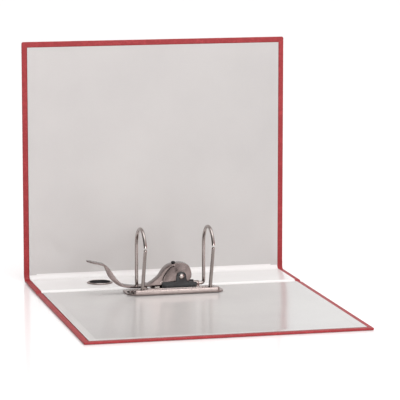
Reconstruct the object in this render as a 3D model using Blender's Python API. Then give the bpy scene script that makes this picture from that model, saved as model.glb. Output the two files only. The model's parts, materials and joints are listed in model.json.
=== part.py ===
"""A4 lever arch file, lying open: rear cover and spine flat, front cover upright.

Metres, +Z up. X runs along the file's height (bottom edge at -X), Y from the
rear cover's free edge to the spine, and the origin is under the middle of the open file.
"""
import math

import bmesh
import bpy
from mathutils import Matrix, Vector

# ---- case: driving dimensions ----
CASE_HEIGHT = 0.318
CASE_DEPTH = 0.285
CASE_WIDTH = 0.084
REAR_CREASE_GAP = 0.005       # from the rear crease line to each board edge
FRONT_CREASE_GAP = 0.010      # the front crease is the rounder one
FOIL = 0.00025
BOARD = 0.0015
LINER = 0.0002
LAYER_GAP = 0.0002            # between glued layers
TURN_IN = 0.015               # foil folded round the board edges
LINER_MARGIN = 0.0065         # foil left showing round the liner
SPINE_RISE = 0.0007           # room for the label pocket and the ring under the spine
SEAM = 0.0003                 # between neighbouring foil stretches

# ---- spine fittings ----
RING_FROM_BOTTOM = 0.083
RING_TUBE_RADIUS = 0.0126
RING_WALL = 0.0008
RING_FLANGE_RADIUS = 0.0155
RING_FLANGE = 0.0005
RING_FIT = 0.0002
POCKET_MARGIN = 0.0015        # from the pocket's sides to the spine's board edges
POCKET_FROM_RING = 0.004
POCKET_FROM_TOP = 0.0185
POCKET_FILM = 0.00015
POCKET_WELD = 0.0015
CARD_SIDE_ROOM = 0.003
CARD_END_ROOM = 0.009
CARD = 0.0002
CARD_FIT = 0.0001

# ---- lever arch mechanism: driving dimensions ----
MECHANISM_OFF_MIDDLE = -0.0034
HOLE_PITCH = 0.080            # standard spacing of punched holes
WIRE_RADIUS = 0.002
FIT = 0.0003                  # clearance between touching mechanism parts
BORE_FIT = 0.0002             # radial clearance of shafts and rivets in their holes
BASE_LENGTH = 0.114
BASE_WIDTH = 0.038
BASE_SHEET = 0.0012
BASE_CORNER = 0.009
BOW_FROM_CREASE = 0.014
CRANK_ROOM = 0.0017           # under the crank, for the leaf spring
ARCH_RADIUS = 0.024
ARCH_FROM_FRONT = 0.0038      # from the arches' tops to the front cover when closed
JOIN_ANGLE = math.radians(10)
POST_FOOT_INSET = 0.0305      # foot of a fixed post, measured from the bow's axis
POST_TIP = 0.0012
POST_TIP_RADIUS = 0.0012
CRANK_REACH = 0.015
CRANK_LEFT = -0.024
CRANK_RIGHT = -0.008
BEND_RADIUS = 0.0032          # of the wire's centre line
SADDLE_FROM_MIDDLE = 0.031
SADDLE_WIDTH = 0.006
SADDLE_SHEET = 0.0012
SADDLE_FOOT = 0.004
PIVOT_X = 0.008
PIVOT_RISE = 0.0167           # from the plate to the lever's pin
PIN_RADIUS = 0.002
PIN_HEAD_RADIUS = 0.0032
PIN_HEAD = 0.0011
PAD_X = -0.008                # the pad on the lever's hump, measured from the pin
PAD_RISE = 0.0150
PAD_RADIUS = 0.0024
PAD_HEIGHT = 0.0020
LEVER_WIDTH = 0.012
LEVER_SHEET = 0.0012
ROLLER_X = -0.015
ROLLER_RADIUS = 0.004
ROLLER_EDGE = 0.0005
ROLLER_END_GAP = 0.001
ROLLER_PIN_RADIUS = 0.0012
ROLLER_PIN_HEAD_RADIUS = 0.0019
ROLLER_PIN_HEAD = 0.0004
CHEEK_CLEARANCE = 0.0007      # between the crank and the lever's cheeks
BAR_LENGTH = 0.101
BAR_WIDTH = 0.010
BAR_SHEET = 0.001
BAR_HEIGHT = 0.0058
BAR_CORNER = 0.0025
BLOCK_WALL = 0.0018
BLOCK_FLOOR = 0.0014
BLOCK_FROM_CRANK = 0.001
BLOCK_RIGHT = 0.026
BLOCK_FRONT_LEFT = -0.015
BLOCK_LIP = 0.0105            # height of the side walls over the plate
EAR_RADIUS = 0.0055
SPRING_SHEET = 0.0005
SPRING_WIDTH = 0.008
SPRING_PAST_CRANK = 0.004
RIVET_RADIUS = 0.0019
RIVET_HEAD_RADIUS = 0.0040
RIVET_HEAD = 0.0009

# ---- derived ----
PANEL_FOIL_LEVEL = FOIL + LAYER_GAP + BOARD + LAYER_GAP + FOIL
PANEL = PANEL_FOIL_LEVEL + LAYER_GAP + LINER
BOTTOM_X = -CASE_HEIGHT / 2
REAR_CREASE_Y = (CASE_DEPTH - CASE_WIDTH) / 2
FRONT_CREASE_Y = REAR_CREASE_Y + CASE_WIDTH
SPINE_WIDTH = CASE_WIDTH - REAR_CREASE_GAP - FRONT_CREASE_GAP
SPINE_MID_Y = REAR_CREASE_Y + REAR_CREASE_GAP + SPINE_WIDTH / 2
MECH_X = MECHANISM_OFF_MIDDLE
BOW_Y = REAR_CREASE_Y - BOW_FROM_CREASE
LEVER_Y = BOW_Y - CRANK_REACH
PLATE_Z = PANEL + FIT
PLATE_TOP = PLATE_Z + BASE_SHEET
BOW_AXIS_Z = PLATE_TOP + CRANK_ROOM + WIRE_RADIUS
CRANK_TOP = BOW_AXIS_Z + WIRE_RADIUS
PIVOT_Z = PLATE_TOP + PIVOT_RISE
BLOCK_LEFT = CRANK_RIGHT + WIRE_RADIUS + BLOCK_FROM_CRANK
BLOCK_GAP = BORE_FIT + ROLLER_PIN_HEAD + FIT   # beside the lever, past the roller's pin
BAR_TOP = PLATE_Z + FIT + BAR_HEIGHT
ARCH_TOP = CASE_WIDTH - ARCH_FROM_FRONT
ARCH_CENTRE = Vector((0, BOW_Y - ARCH_RADIUS, ARCH_TOP - WIRE_RADIUS - ARCH_RADIUS))
JOIN = ARCH_CENTRE + ARCH_RADIUS * Vector((0, -math.cos(JOIN_ANGLE), math.sin(JOIN_ANGLE)))
POST_FOOT = Vector((0, BOW_Y - POST_FOOT_INSET, PLATE_TOP))
POST_DIRECTION = (JOIN - POST_FOOT).normalized()
BAR_MID_Y = POST_FOOT.y + (BAR_TOP - PLATE_TOP) * POST_DIRECTION.y / POST_DIRECTION.z
ROLLER_Z = CRANK_TOP + FIT + ROLLER_RADIUS
ROLLER_WIDTH = LEVER_WIDTH - 2 * LEVER_SHEET - 2 * ROLLER_END_GAP
RING_X = BOTTOM_X + RING_FROM_BOTTOM
POCKET_LEFT = RING_X + RING_FLANGE_RADIUS + POCKET_FROM_RING
POCKET_RIGHT = CASE_HEIGHT / 2 - POCKET_FROM_TOP
POCKET_WIDTH = SPINE_WIDTH - 2 * POCKET_MARGIN
CARD_WIDTH = POCKET_WIDTH - 2 * CARD_SIDE_ROOM
CARD_LENGTH = POCKET_RIGHT - POCKET_LEFT - CARD_END_ROOM
RIVET_PLACES = [(-0.051, LEVER_Y), (-0.033, LEVER_Y), (0.033, LEVER_Y), (0.051, LEVER_Y)]

RED = (0.42, 0.025, 0.03)
GREY_PAPER = (0.62, 0.61, 0.60)
STEEL = (0.70, 0.69, 0.67)
BLACK = (0.02, 0.02, 0.022)
BOARD_GREY = (0.35, 0.33, 0.30)
CLEAR_FILM = (0.8, 0.8, 0.8)
WHITE_CARD = (0.9, 0.9, 0.88)


def clear_scene():
    for obj in list(bpy.data.objects):
        bpy.data.objects.remove(obj, do_unlink=True)


def finish(obj, colour, roughness, metallic=0.0):
    """Gives an object its own Principled material."""
    material = bpy.data.materials.new(obj.name)
    material.use_nodes = True
    shader = material.node_tree.nodes["Principled BSDF"]
    shader.inputs["Base Color"].default_value = (*colour, 1.0)
    shader.inputs["Roughness"].default_value = roughness
    shader.inputs["Metallic"].default_value = metallic
    obj.data.materials.append(material)
    return obj


def object_from(name, bm, origin=(0, 0, 0)):
    """Turns a bmesh in world coordinates into an object whose origin is at the given point."""
    bmesh.ops.recalc_face_normals(bm, faces=bm.faces)
    mesh = bpy.data.meshes.new(name)
    bm.transform(Matrix.Translation(-Vector(origin)))
    bm.to_mesh(mesh)
    bm.free()
    obj = bpy.data.objects.new(name, mesh)
    obj.location = origin
    bpy.context.collection.objects.link(obj)
    return obj


def add_box(bm, low, high):
    low, high = Vector(low), Vector(high)
    size = high - low
    matrix = Matrix.Translation((low + high) / 2) @ Matrix.Diagonal((*size, 1))
    return bmesh.ops.create_cube(bm, size=1, matrix=matrix)["verts"]


def add_cylinder(bm, start, end, radius, radius_end=None, segments=24):
    start, end = Vector(start), Vector(end)
    turn = (end - start).to_track_quat("Z", "Y").to_matrix().to_4x4()
    matrix = Matrix.Translation((start + end) / 2) @ turn
    return bmesh.ops.create_cone(
        bm,
        cap_ends=True,
        segments=segments,
        radius1=radius,
        radius2=radius if radius_end is None else radius_end,
        depth=(end - start).length,
        matrix=matrix,
    )["verts"]


def add_prism(bm, outline, offset):
    """An outline of 3D points closed into a face and extruded by an offset."""
    face = bm.faces.new([bm.verts.new(point) for point in outline])
    grown = bmesh.ops.extrude_face_region(bm, geom=[face])
    moved = [item for item in grown["geom"] if isinstance(item, bmesh.types.BMVert)]
    bmesh.ops.translate(bm, verts=moved, vec=offset)


def lathe(bm, profile, centre, direction, segments=32):
    """Spins a closed profile of (radius, height) points round a line through the centre."""
    turn = Vector(direction).to_track_quat("Z", "Y").to_matrix().to_4x4()
    place = Matrix.Translation(centre) @ turn
    verts = [bm.verts.new((radius, 0, height)) for radius, height in profile]
    edges = [bm.edges.new((a, b)) for a, b in zip(verts, verts[1:] + verts[:1])]
    bmesh.ops.spin(
        bm,
        geom=verts + edges,
        cent=(0, 0, 0),
        axis=(0, 0, 1),
        angle=math.tau,
        steps=segments,
        use_merge=True,
    )
    bmesh.ops.remove_doubles(bm, verts=bm.verts, dist=1e-7)
    bmesh.ops.transform(bm, matrix=place, verts=bm.verts)


def round_upright_edges(bm, radius, segments):
    upright = []
    for edge in bm.edges:
        step = edge.verts[0].co - edge.verts[1].co
        if abs(step.z) > step.xy.length:
            upright.append(edge)
    bmesh.ops.bevel(
        bm,
        geom=upright,
        offset=radius,
        offset_type="OFFSET",
        segments=segments,
        profile=0.5,
        affect="EDGES",
        material=-1,
    )


def cutter(name, build):
    """A hidden solid for Boolean modifiers."""
    bm = bmesh.new()
    build(bm)
    obj = object_from(name, bm)
    obj.hide_render = True
    obj.display_type = "WIRE"
    return obj


def boolean(obj, other, operation="DIFFERENCE"):
    modifier = obj.modifiers.new(other.name, "BOOLEAN")
    modifier.operation = operation
    modifier.solver = "EXACT"
    modifier.object = other
    return obj


def smooth_round(obj, angle=35):
    obj.data.shade_smooth()
    obj.data.set_sharp_from_angle(angle=math.radians(angle))
    return obj


def arc(centre, radius, start, end, steps):
    """Points of an arc in the YZ plane, angles measured from +Y towards +Z."""
    points = []
    for step in range(steps + 1):
        angle = start + (end - start) * step / steps
        points.append(Vector(centre) + radius * Vector((0, math.cos(angle), math.sin(angle))))
    return points


def rounded(points, radius, steps=4):
    """A path whose inner corners are rounded."""
    path = [Vector(points[0])]
    for before, corner, after in zip(points, points[1:], points[2:]):
        corner = Vector(corner)
        back = (Vector(before) - corner).normalized()
        on = (Vector(after) - corner).normalized()
        half = back.angle(on) / 2
        reach = radius / math.tan(half)
        centre = corner + (back + on).normalized() * radius / math.sin(half)
        first = (corner + back * reach - centre).normalized()
        last = (corner + on * reach - centre).normalized()
        for step in range(steps + 1):
            path.append(centre + radius * first.slerp(last, step / steps))
    path.append(Vector(points[-1]))
    return path


def wire(name, path, radius, origin):
    """A round wire along a path, with flat ends."""
    curve = bpy.data.curves.new(name, "CURVE")
    curve.dimensions = "3D"
    curve.bevel_depth = radius
    curve.bevel_resolution = 3
    curve.use_fill_caps = True
    spline = curve.splines.new("POLY")
    spline.points.add(len(path) - 1)
    for point, place in zip(spline.points, path):
        point.co = (*(Vector(place) - Vector(origin)), 1)
    obj = bpy.data.objects.new(name, curve)
    obj.location = origin
    bpy.context.collection.objects.link(obj)
    return obj


def spline_through(points, steps):
    """A smooth curve through 2D points (Catmull-Rom)."""
    points = [Vector(point) for point in points]
    padded = [2 * points[0] - points[1]] + points + [2 * points[-1] - points[-2]]
    curve = []
    for a, b, c, d in zip(padded, padded[1:], padded[2:], padded[3:]):
        slope = (c - a) / 2
        bend = (2 * a - 5 * b + 4 * c - d) / 2
        twist = (3 * b - a - 3 * c + d) / 2
        for step in range(steps):
            t = step / steps
            curve.append(b + slope * t + bend * t**2 + twist * t**3)
    curve.append(points[-1])
    return curve


# ---- the case ----

def rear_place(along, out, level):
    """Panel coordinates (along the height, away from the crease, through the panel) to the world."""
    return Vector((along, REAR_CREASE_Y - out, level))


def spine_place(along, out, level):
    return Vector((along, REAR_CREASE_Y + out, SPINE_RISE + level))


def front_place(along, out, level):
    return Vector((along, FRONT_CREASE_Y - level, out))


def panel_box(bm, place, along, out, level):
    """A box given by ranges in panel coordinates."""
    corners = [place(a, o, l) for a, o, l in zip(along, out, level)]
    low = [min(values) for values in zip(*corners)]
    high = [max(values) for values in zip(*corners)]
    add_box(bm, low, high)


def make_panel(name, place, near, far, free_edge):
    """One stiff panel of the case: foil wrapped round a board, with a liner glued inside."""
    half = CASE_HEIGHT / 2
    wall = FOIL if free_edge else -FOIL
    margin = LINER_MARGIN if free_edge else 0
    fold = TURN_IN if free_edge else -TURN_IN
    board_low = FOIL + LAYER_GAP
    origin = place(0, near, 0)

    bm = bmesh.new()
    panel_box(bm, place, (-half, half), (near, far), (0, PANEL_FOIL_LEVEL))
    foil = object_from(name + "_foil", bm, origin)

    def cavity(bm):
        along = half - FOIL
        level = (FOIL, PANEL_FOIL_LEVEL - FOIL)
        panel_box(bm, place, (-along, along), (near - FOIL, far - wall), level)

    def window(bm):
        along = half - TURN_IN
        level = (PANEL_FOIL_LEVEL / 2, PANEL_FOIL_LEVEL + FOIL)
        panel_box(bm, place, (-along, along), (near - FOIL, far - fold), level)

    boolean(foil, cutter(name + "_foil_cavity", cavity))
    boolean(foil, cutter(name + "_foil_window", window))
    finish(foil, RED, 0.45)

    bm = bmesh.new()
    along = half - FOIL - LAYER_GAP
    board_far = far - FOIL - LAYER_GAP if free_edge else far
    panel_box(bm, place, (-along, along), (near, board_far), (board_low, board_low + BOARD))
    board = finish(object_from(name + "_board", bm, origin), BOARD_GREY, 0.9)

    bm = bmesh.new()
    along = half - LINER_MARGIN
    panel_box(bm, place, (-along, along), (near, far - margin), (PANEL - LINER, PANEL))
    liner = finish(object_from(name + "_liner", bm, origin), GREY_PAPER, 0.6)
    return foil, board, liner


def make_rear_crease():
    """The flat, flexible strips between the rear cover and the spine."""
    half = CASE_HEIGHT / 2
    near = REAR_CREASE_GAP - SEAM
    for name, level, thickness, reach, colour in (
        ("rear_crease_foil", 0, FOIL, half, RED),
        ("rear_crease_liner", PANEL - LINER, LINER, half - LINER_MARGIN, GREY_PAPER),
    ):
        outline = [
            (-reach, REAR_CREASE_Y - near, level),
            (-reach, REAR_CREASE_Y + near, level + SPINE_RISE),
            (-reach, REAR_CREASE_Y + near, level + SPINE_RISE + thickness),
            (-reach, REAR_CREASE_Y - near, level + thickness),
        ]
        bm = bmesh.new()
        add_prism(bm, outline, (2 * reach, 0, 0))
        finish(object_from(name, bm, (0, REAR_CREASE_Y, 0)), colour, 0.45)


def make_front_crease():
    """The rounded, flexible strips between the spine and the front cover."""
    half = CASE_HEIGHT / 2
    centre = Vector((0, FRONT_CREASE_Y - FRONT_CREASE_GAP, FRONT_CREASE_GAP))
    steps = 8
    seam_angle = SEAM / FRONT_CREASE_GAP
    start = -math.pi / 2 + seam_angle
    end = -seam_angle
    for name, level, thickness, reach, colour in (
        ("front_crease_foil", 0, FOIL, half, RED),
        ("front_crease_liner", PANEL - LINER, LINER, half - LINER_MARGIN, GREY_PAPER),
    ):
        def ramp(radius):
            """The arc sinks from the raised spine to the cover."""
            points = arc(centre, radius, start, end, steps)
            for index, point in enumerate(points):
                point.z += SPINE_RISE * (1 - index / steps)
                point.x = -reach
            return points

        outer = ramp(FRONT_CREASE_GAP - level)
        inner = ramp(FRONT_CREASE_GAP - level - thickness)
        bm = bmesh.new()
        add_prism(bm, outer + inner[::-1], (2 * reach, 0, 0))
        finish(smooth_round(object_from(name, bm, (0, FRONT_CREASE_Y, 0))), colour, 0.45)


def make_case():
    rear = make_panel("rear", rear_place, REAR_CREASE_GAP, CASE_DEPTH, True)
    spine = make_panel("spine", spine_place, REAR_CREASE_GAP, REAR_CREASE_GAP + SPINE_WIDTH, False)
    make_panel("front", front_place, FRONT_CREASE_GAP, CASE_DEPTH, True)
    make_rear_crease()
    make_front_crease()
    punch_rivet_holes(*rear)
    punch_finger_hole(spine)


def punch_rivet_holes(foil, board, liner):
    """Rivets pass through the rear cover, with their heads sunk level with its outside."""
    head_room = RIVET_HEAD + 2 * LAYER_GAP

    def sunk(bm):
        for x, y in RIVET_PLACES:
            place = Vector((MECH_X + x, y, 0))
            deep = place + Vector((0, 0, head_room))
            add_cylinder(bm, place - Vector((0, 0, FOIL)), deep, RIVET_HEAD_RADIUS + FIT)

    def through(bm):
        for x, y in RIVET_PLACES:
            place = Vector((MECH_X + x, y, 0))
            add_cylinder(bm, place, place + Vector((0, 0, 2 * PANEL)), RIVET_RADIUS + FIT)

    sunk_cutter = cutter("rivet_head_holes", sunk)
    through_cutter = cutter("rivet_shank_holes", through)
    boolean(foil, sunk_cutter)
    boolean(board, sunk_cutter)
    boolean(board, through_cutter)
    boolean(liner, through_cutter)


def punch_finger_hole(layers):
    centre = Vector((RING_X, SPINE_MID_Y, 0))
    radius = RING_TUBE_RADIUS + RING_WALL + RING_FIT

    def hole(bm):
        reach = Vector((0, 0, 3 * PANEL))
        add_cylinder(bm, centre - reach, centre + reach, radius, segments=40)

    hole_cutter = cutter("finger_hole", hole)
    for layer in layers:
        boolean(layer, hole_cutter)


def make_finger_ring():
    """An eyelet through the spine and the washer that locks it inside."""
    inside = SPINE_RISE + PANEL + RING_FIT
    tube = RING_TUBE_RADIUS + RING_WALL
    profile = [
        (RING_TUBE_RADIUS, 0),
        (RING_FLANGE_RADIUS, 0),
        (RING_FLANGE_RADIUS, RING_FLANGE),
        (tube, RING_FLANGE),
        (tube, inside + 2 * RING_FLANGE),
        (RING_TUBE_RADIUS, inside + 2 * RING_FLANGE),
    ]
    bm = bmesh.new()
    lathe(bm, profile, (RING_X, SPINE_MID_Y, 0), (0, 0, 1), 40)
    outer = object_from("finger_ring_outer", bm, (RING_X, SPINE_MID_Y, 0))
    finish(smooth_round(outer), STEEL, 0.15, 1.0)

    washer = [
        (tube + RING_FIT, 0),
        (RING_FLANGE_RADIUS, 0),
        (RING_FLANGE_RADIUS - RING_FLANGE / 2, RING_FLANGE),
        (tube + RING_FIT, RING_FLANGE),
    ]
    bm = bmesh.new()
    lathe(bm, washer, (RING_X, SPINE_MID_Y, inside), (0, 0, 1), 40)
    inner = object_from("finger_ring_inner", bm, (RING_X, SPINE_MID_Y, inside))
    finish(smooth_round(inner), STEEL, 0.15, 1.0)


def make_label():
    """A clear pocket welded along three sides outside the spine, and the card in it."""
    left = POCKET_LEFT
    right = POCKET_RIGHT
    low_y = SPINE_MID_Y - POCKET_WIDTH / 2
    high_y = SPINE_MID_Y + POCKET_WIDTH / 2
    top = SPINE_RISE - CARD_FIT
    bm = bmesh.new()
    add_box(bm, (left, low_y, 0), (right, high_y, top))
    pocket = object_from("label_pocket", bm, (left, SPINE_MID_Y, 0))

    def room(bm):
        low = (left + POCKET_WELD, low_y + POCKET_WELD, POCKET_FILM)
        add_box(bm, low, (right + FIT, high_y - POCKET_WELD, SPINE_RISE))

    boolean(pocket, cutter("label_room", room))
    finish(pocket, CLEAR_FILM, 0.1)

    bm = bmesh.new()
    card_low = POCKET_FILM + CARD_FIT
    card_left = left + POCKET_WELD + FIT
    add_box(
        bm,
        (card_left, SPINE_MID_Y - CARD_WIDTH / 2, card_low),
        (card_left + CARD_LENGTH, SPINE_MID_Y + CARD_WIDTH / 2, card_low + CARD),
    )
    finish(object_from("label_card", bm, (card_left, SPINE_MID_Y, card_low)), WHITE_CARD, 0.5)


# ---- the lever arch mechanism ----

def mech(x, y, z):
    """A point given from the mechanism's middle along X."""
    return Vector((MECH_X + x, y, z))


def make_base_plate():
    low_y = LEVER_Y - BASE_WIDTH / 2
    bm = bmesh.new()
    half = BASE_LENGTH / 2
    add_box(bm, mech(-half, low_y, PLATE_Z), mech(half, low_y + BASE_WIDTH, PLATE_TOP))
    round_upright_edges(bm, BASE_CORNER, 5)
    plate = object_from("base_plate", bm, mech(0, LEVER_Y, PLATE_Z))

    def holes(bm):
        for x, y in RIVET_PLACES:
            add_cylinder(bm, mech(x, y, 0), mech(x, y, 2 * PLATE_TOP), RIVET_RADIUS + BORE_FIT)
        for side in (-1, 1):
            foot = POST_FOOT + Vector((MECH_X + side * HOLE_PITCH / 2, 0, 0))
            reach = POST_DIRECTION * BAR_WIDTH
            add_cylinder(bm, foot - reach, foot + reach, WIRE_RADIUS + BORE_FIT)

    boolean(plate, cutter("base_plate_holes", holes))
    finish(plate, STEEL, 0.25, 1.0)


def make_base_rivets():
    """Rivets that clamp the plate to the rear cover, their flat heads sunk into its outside."""
    top = PLATE_TOP + FIT
    profile = [
        (0, LAYER_GAP / 2),
        (RIVET_HEAD_RADIUS, LAYER_GAP / 2),
        (RIVET_HEAD_RADIUS, RIVET_HEAD),
        (RIVET_RADIUS, RIVET_HEAD),
        (RIVET_RADIUS, top),
        (RIVET_HEAD_RADIUS - FIT, top),
        (RIVET_RADIUS, top + RIVET_HEAD),
        (0, top + RIVET_HEAD),
    ]
    for number, (x, y) in enumerate(RIVET_PLACES, 1):
        bm = bmesh.new()
        lathe(bm, profile, mech(x, y, 0), (0, 0, 1), 20)
        finish(smooth_round(object_from(f"base_rivet_{number}", bm, mech(x, y, 0))), STEEL, 0.3, 1.0)


def make_fixed_posts():
    """Two straight posts that lean outwards, with their feet in the plate and tapered tips."""
    end = (JOIN - POST_FOOT).length - WIRE_RADIUS * math.tan(JOIN_ANGLE)
    start = FIT - BASE_SHEET + WIRE_RADIUS * abs(POST_DIRECTION.y)
    profile = [
        (0, start),
        (WIRE_RADIUS, start),
        (WIRE_RADIUS, end - POST_TIP),
        (POST_TIP_RADIUS, end),
        (0, end),
    ]
    for name, side in (("fixed_post_left", -1), ("fixed_post_right", 1)):
        foot = POST_FOOT + Vector((MECH_X + side * HOLE_PITCH / 2, 0, 0))
        bm = bmesh.new()
        lathe(bm, profile, foot, POST_DIRECTION, 16)
        finish(smooth_round(object_from(name, bm, foot)), STEEL, 0.1, 1.0)


def bow_side(side):
    """The arch and leg of one side, from the join to the bow's axis."""
    x = MECH_X + side * HOLE_PITCH / 2
    centre = ARCH_CENTRE + Vector((x, 0, 0))
    slack = FIT / ARCH_RADIUS + 0.5 * WIRE_RADIUS / ARCH_RADIUS
    return arc(centre, ARCH_RADIUS, math.pi - JOIN_ANGLE - slack, 0, 18)


def make_arch_bow():
    """Both moving arches and the cranked shaft that joins them, bent from one wire."""
    half = HOLE_PITCH / 2
    tip_y = BOW_Y - CRANK_REACH
    corners = [
        bow_side(-1)[-1],
        mech(-half, BOW_Y, BOW_AXIS_Z),
        mech(CRANK_LEFT, BOW_Y, BOW_AXIS_Z),
        mech(CRANK_LEFT, tip_y, BOW_AXIS_Z),
        mech(CRANK_RIGHT, tip_y, BOW_AXIS_Z),
        mech(CRANK_RIGHT, BOW_Y, BOW_AXIS_Z),
        mech(half, BOW_Y, BOW_AXIS_Z),
        bow_side(1)[-1],
    ]
    shaft = rounded(corners, BEND_RADIUS)
    path = bow_side(-1)[:-1] + shaft + bow_side(1)[-2::-1]
    bow = wire("arch_bow", path, WIRE_RADIUS, mech(0, BOW_Y, BOW_AXIS_Z))
    finish(bow, STEEL, 0.1, 1.0)


def make_bow_bearings():
    """Two saddles that hold the bow's shaft down on the plate."""
    inner = WIRE_RADIUS + BORE_FIT
    outer = inner + SADDLE_SHEET
    foot = inner + SADDLE_FOOT
    low = PLATE_TOP + FIT
    step = low + SADDLE_SHEET
    for name, side in (("bow_bearing_left", -1), ("bow_bearing_right", 1)):
        middle = mech(side * SADDLE_FROM_MIDDLE, BOW_Y, low)
        left = middle.x - SADDLE_WIDTH / 2
        centre = (left, BOW_Y, BOW_AXIS_Z)
        outline = [
            (left, BOW_Y + foot, low),
            (left, BOW_Y + foot, step),
            (left, BOW_Y + outer, step),
            *arc(centre, outer, 0, math.pi, 10),
            (left, BOW_Y - outer, step),
            (left, BOW_Y - foot, step),
            (left, BOW_Y - foot, low),
            (left, BOW_Y - inner, low),
            *arc(centre, inner, math.pi, 0, 10),
            (left, BOW_Y + inner, low),
        ]
        bm = bmesh.new()
        add_prism(bm, outline, (SADDLE_WIDTH, 0, 0))
        finish(smooth_round(object_from(name, bm, middle)), STEEL, 0.3, 1.0)


def make_leaf_spring():
    """A bowed leaf on the plate, pressing the crank up."""
    low = PLATE_TOP + FIT
    lift = BOW_AXIS_Z - WIRE_RADIUS - FIT - SPRING_SHEET - low
    start = CRANK_LEFT - SPRING_PAST_CRANK
    length = BLOCK_LEFT - FIT - start
    near = LEVER_Y - SPRING_WIDTH / 2
    steps = 8
    lower = []
    for step in range(steps + 1):
        share = step / steps
        lower.append(mech(start + length * share, near, low + lift * math.sin(math.pi * share)))
    upper = [point + Vector((0, 0, SPRING_SHEET)) for point in lower]
    bm = bmesh.new()
    add_prism(bm, lower + upper[::-1], (0, SPRING_WIDTH, 0))
    finish(object_from("leaf_spring", bm, mech(start, LEVER_Y, low)), STEEL, 0.35, 1.0)


def make_bearing_block():
    """A moulded cradle with two ears for the lever's pin."""
    inner = LEVER_WIDTH / 2 + BLOCK_GAP
    low = PLATE_TOP + FIT
    sunk = BLOCK_WALL / 2
    near = LEVER_Y - inner - sunk
    far = LEVER_Y + inner + sunk
    bm = bmesh.new()
    add_box(bm, mech(BLOCK_LEFT, near, low), mech(BLOCK_RIGHT, far, low + BLOCK_FLOOR))
    block = object_from("bearing_block", bm, mech(PIVOT_X, LEVER_Y, low))
    for name, side, left in (("near", -1, BLOCK_FRONT_LEFT), ("far", 1, BLOCK_LEFT + sunk)):
        boolean(block, bearing_wall(name, side, left), "UNION")

    def bore(bm):
        reach = Vector((0, LEVER_WIDTH, 0))
        pivot = mech(PIVOT_X, LEVER_Y, PIVOT_Z)
        add_cylinder(bm, pivot - reach, pivot + reach, PIN_RADIUS + BORE_FIT)

    boolean(block, cutter("bearing_bore", bore))
    finish(smooth_round(block), BLACK, 0.4)


def bearing_wall(name, side, left):
    """One side wall of the cradle, with its ear round the pin."""
    y = LEVER_Y + side * (LEVER_WIDTH / 2 + BLOCK_GAP)
    low = PLATE_TOP + FIT + BLOCK_FLOOR / 2
    lip = PLATE_TOP + BLOCK_LIP
    right = BLOCK_RIGHT - BLOCK_WALL / 2
    ear = []
    steps = 8
    for step in range(steps + 1):
        angle = math.pi * step / steps
        out = EAR_RADIUS * math.cos(angle)
        ear.append(mech(PIVOT_X + out, y, PIVOT_Z + EAR_RADIUS * math.sin(angle)))
    outline = [
        mech(left, y, low),
        mech(right, y, low),
        mech(right, y, lip),
        mech(PIVOT_X + EAR_RADIUS, y, lip),
        *ear,
        mech(PIVOT_X - EAR_RADIUS, y, lip),
        mech(left, y, lip),
    ]
    thickness = (0, side * BLOCK_WALL, 0)
    return cutter("bearing_wall_" + name, lambda bm: add_prism(bm, outline, thickness))


def make_lever_pin():
    half = LEVER_WIDTH / 2 + BLOCK_GAP + BLOCK_WALL + FIT
    profile = [
        (0, -half - PIN_HEAD),
        (PIN_HEAD_RADIUS, -half - PIN_HEAD),
        (PIN_HEAD_RADIUS, -half),
        (PIN_RADIUS, -half),
        (PIN_RADIUS, half),
        (PIN_HEAD_RADIUS, half),
        (PIN_HEAD_RADIUS, half + PIN_HEAD),
        (0, half + PIN_HEAD),
    ]
    pivot = mech(PIVOT_X, LEVER_Y, PIVOT_Z)
    bm = bmesh.new()
    lathe(bm, profile, pivot, (0, 1, 0), 20)
    finish(smooth_round(object_from("lever_pin", bm, pivot)), STEEL, 0.2, 1.0)


def lever_edges():
    """The lever's upper and lower edge, tip first, in steps that face each other.

    The points are measured from the lever's pin.
    """
    upper = [
        (-0.1100, 0.0220),
        (-0.0940, 0.0182),
        (-0.0890, 0.0165),
        (-0.0835, 0.0110),
        (-0.0785, 0.0035),
        (-0.0735, -0.0028),
        (-0.0675, -0.0074),
        (-0.0565, -0.0096),
        (-0.0452, -0.0098),
        (-0.0360, -0.0074),
        (-0.0260, 0.0000),
        (-0.0210, 0.0070),
        (-0.0150, 0.0125),
        (-0.0080, 0.0146),
        (0.0000, 0.0152),
        (0.0070, 0.0135),
        (0.0104, 0.0096),
        (0.0124, 0.0030),
        (0.0122, -0.0020),
    ]
    lower = [
        (-0.1100, 0.0202),
        (-0.0945, 0.0164),
        (-0.0902, 0.0146),
        (-0.0870, 0.0092),
        (-0.0838, 0.0016),
        (-0.0776, -0.0055),
        (-0.0690, -0.0099),
        (-0.0567, -0.0117),
        (-0.0450, -0.0117),
        (-0.0350, -0.0100),
    ]
    cheek = CRANK_TOP + CHEEK_CLEARANCE - PIVOT_Z
    hub = [-0.0280, -0.0230, -0.0160, -0.0100, -0.0040, 0.0000, 0.0040]
    lower += [(x, cheek) for x in hub]
    lower += [(0.0075, cheek / 2 - 0.0030), (0.0100, -0.0050)]
    pivot = Vector((PIVOT_X, PIVOT_Z))
    top = spline_through([pivot + Vector(point) for point in upper], 2)
    bottom = spline_through([pivot + Vector(point) for point in lower], 2)
    return top, bottom


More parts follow.
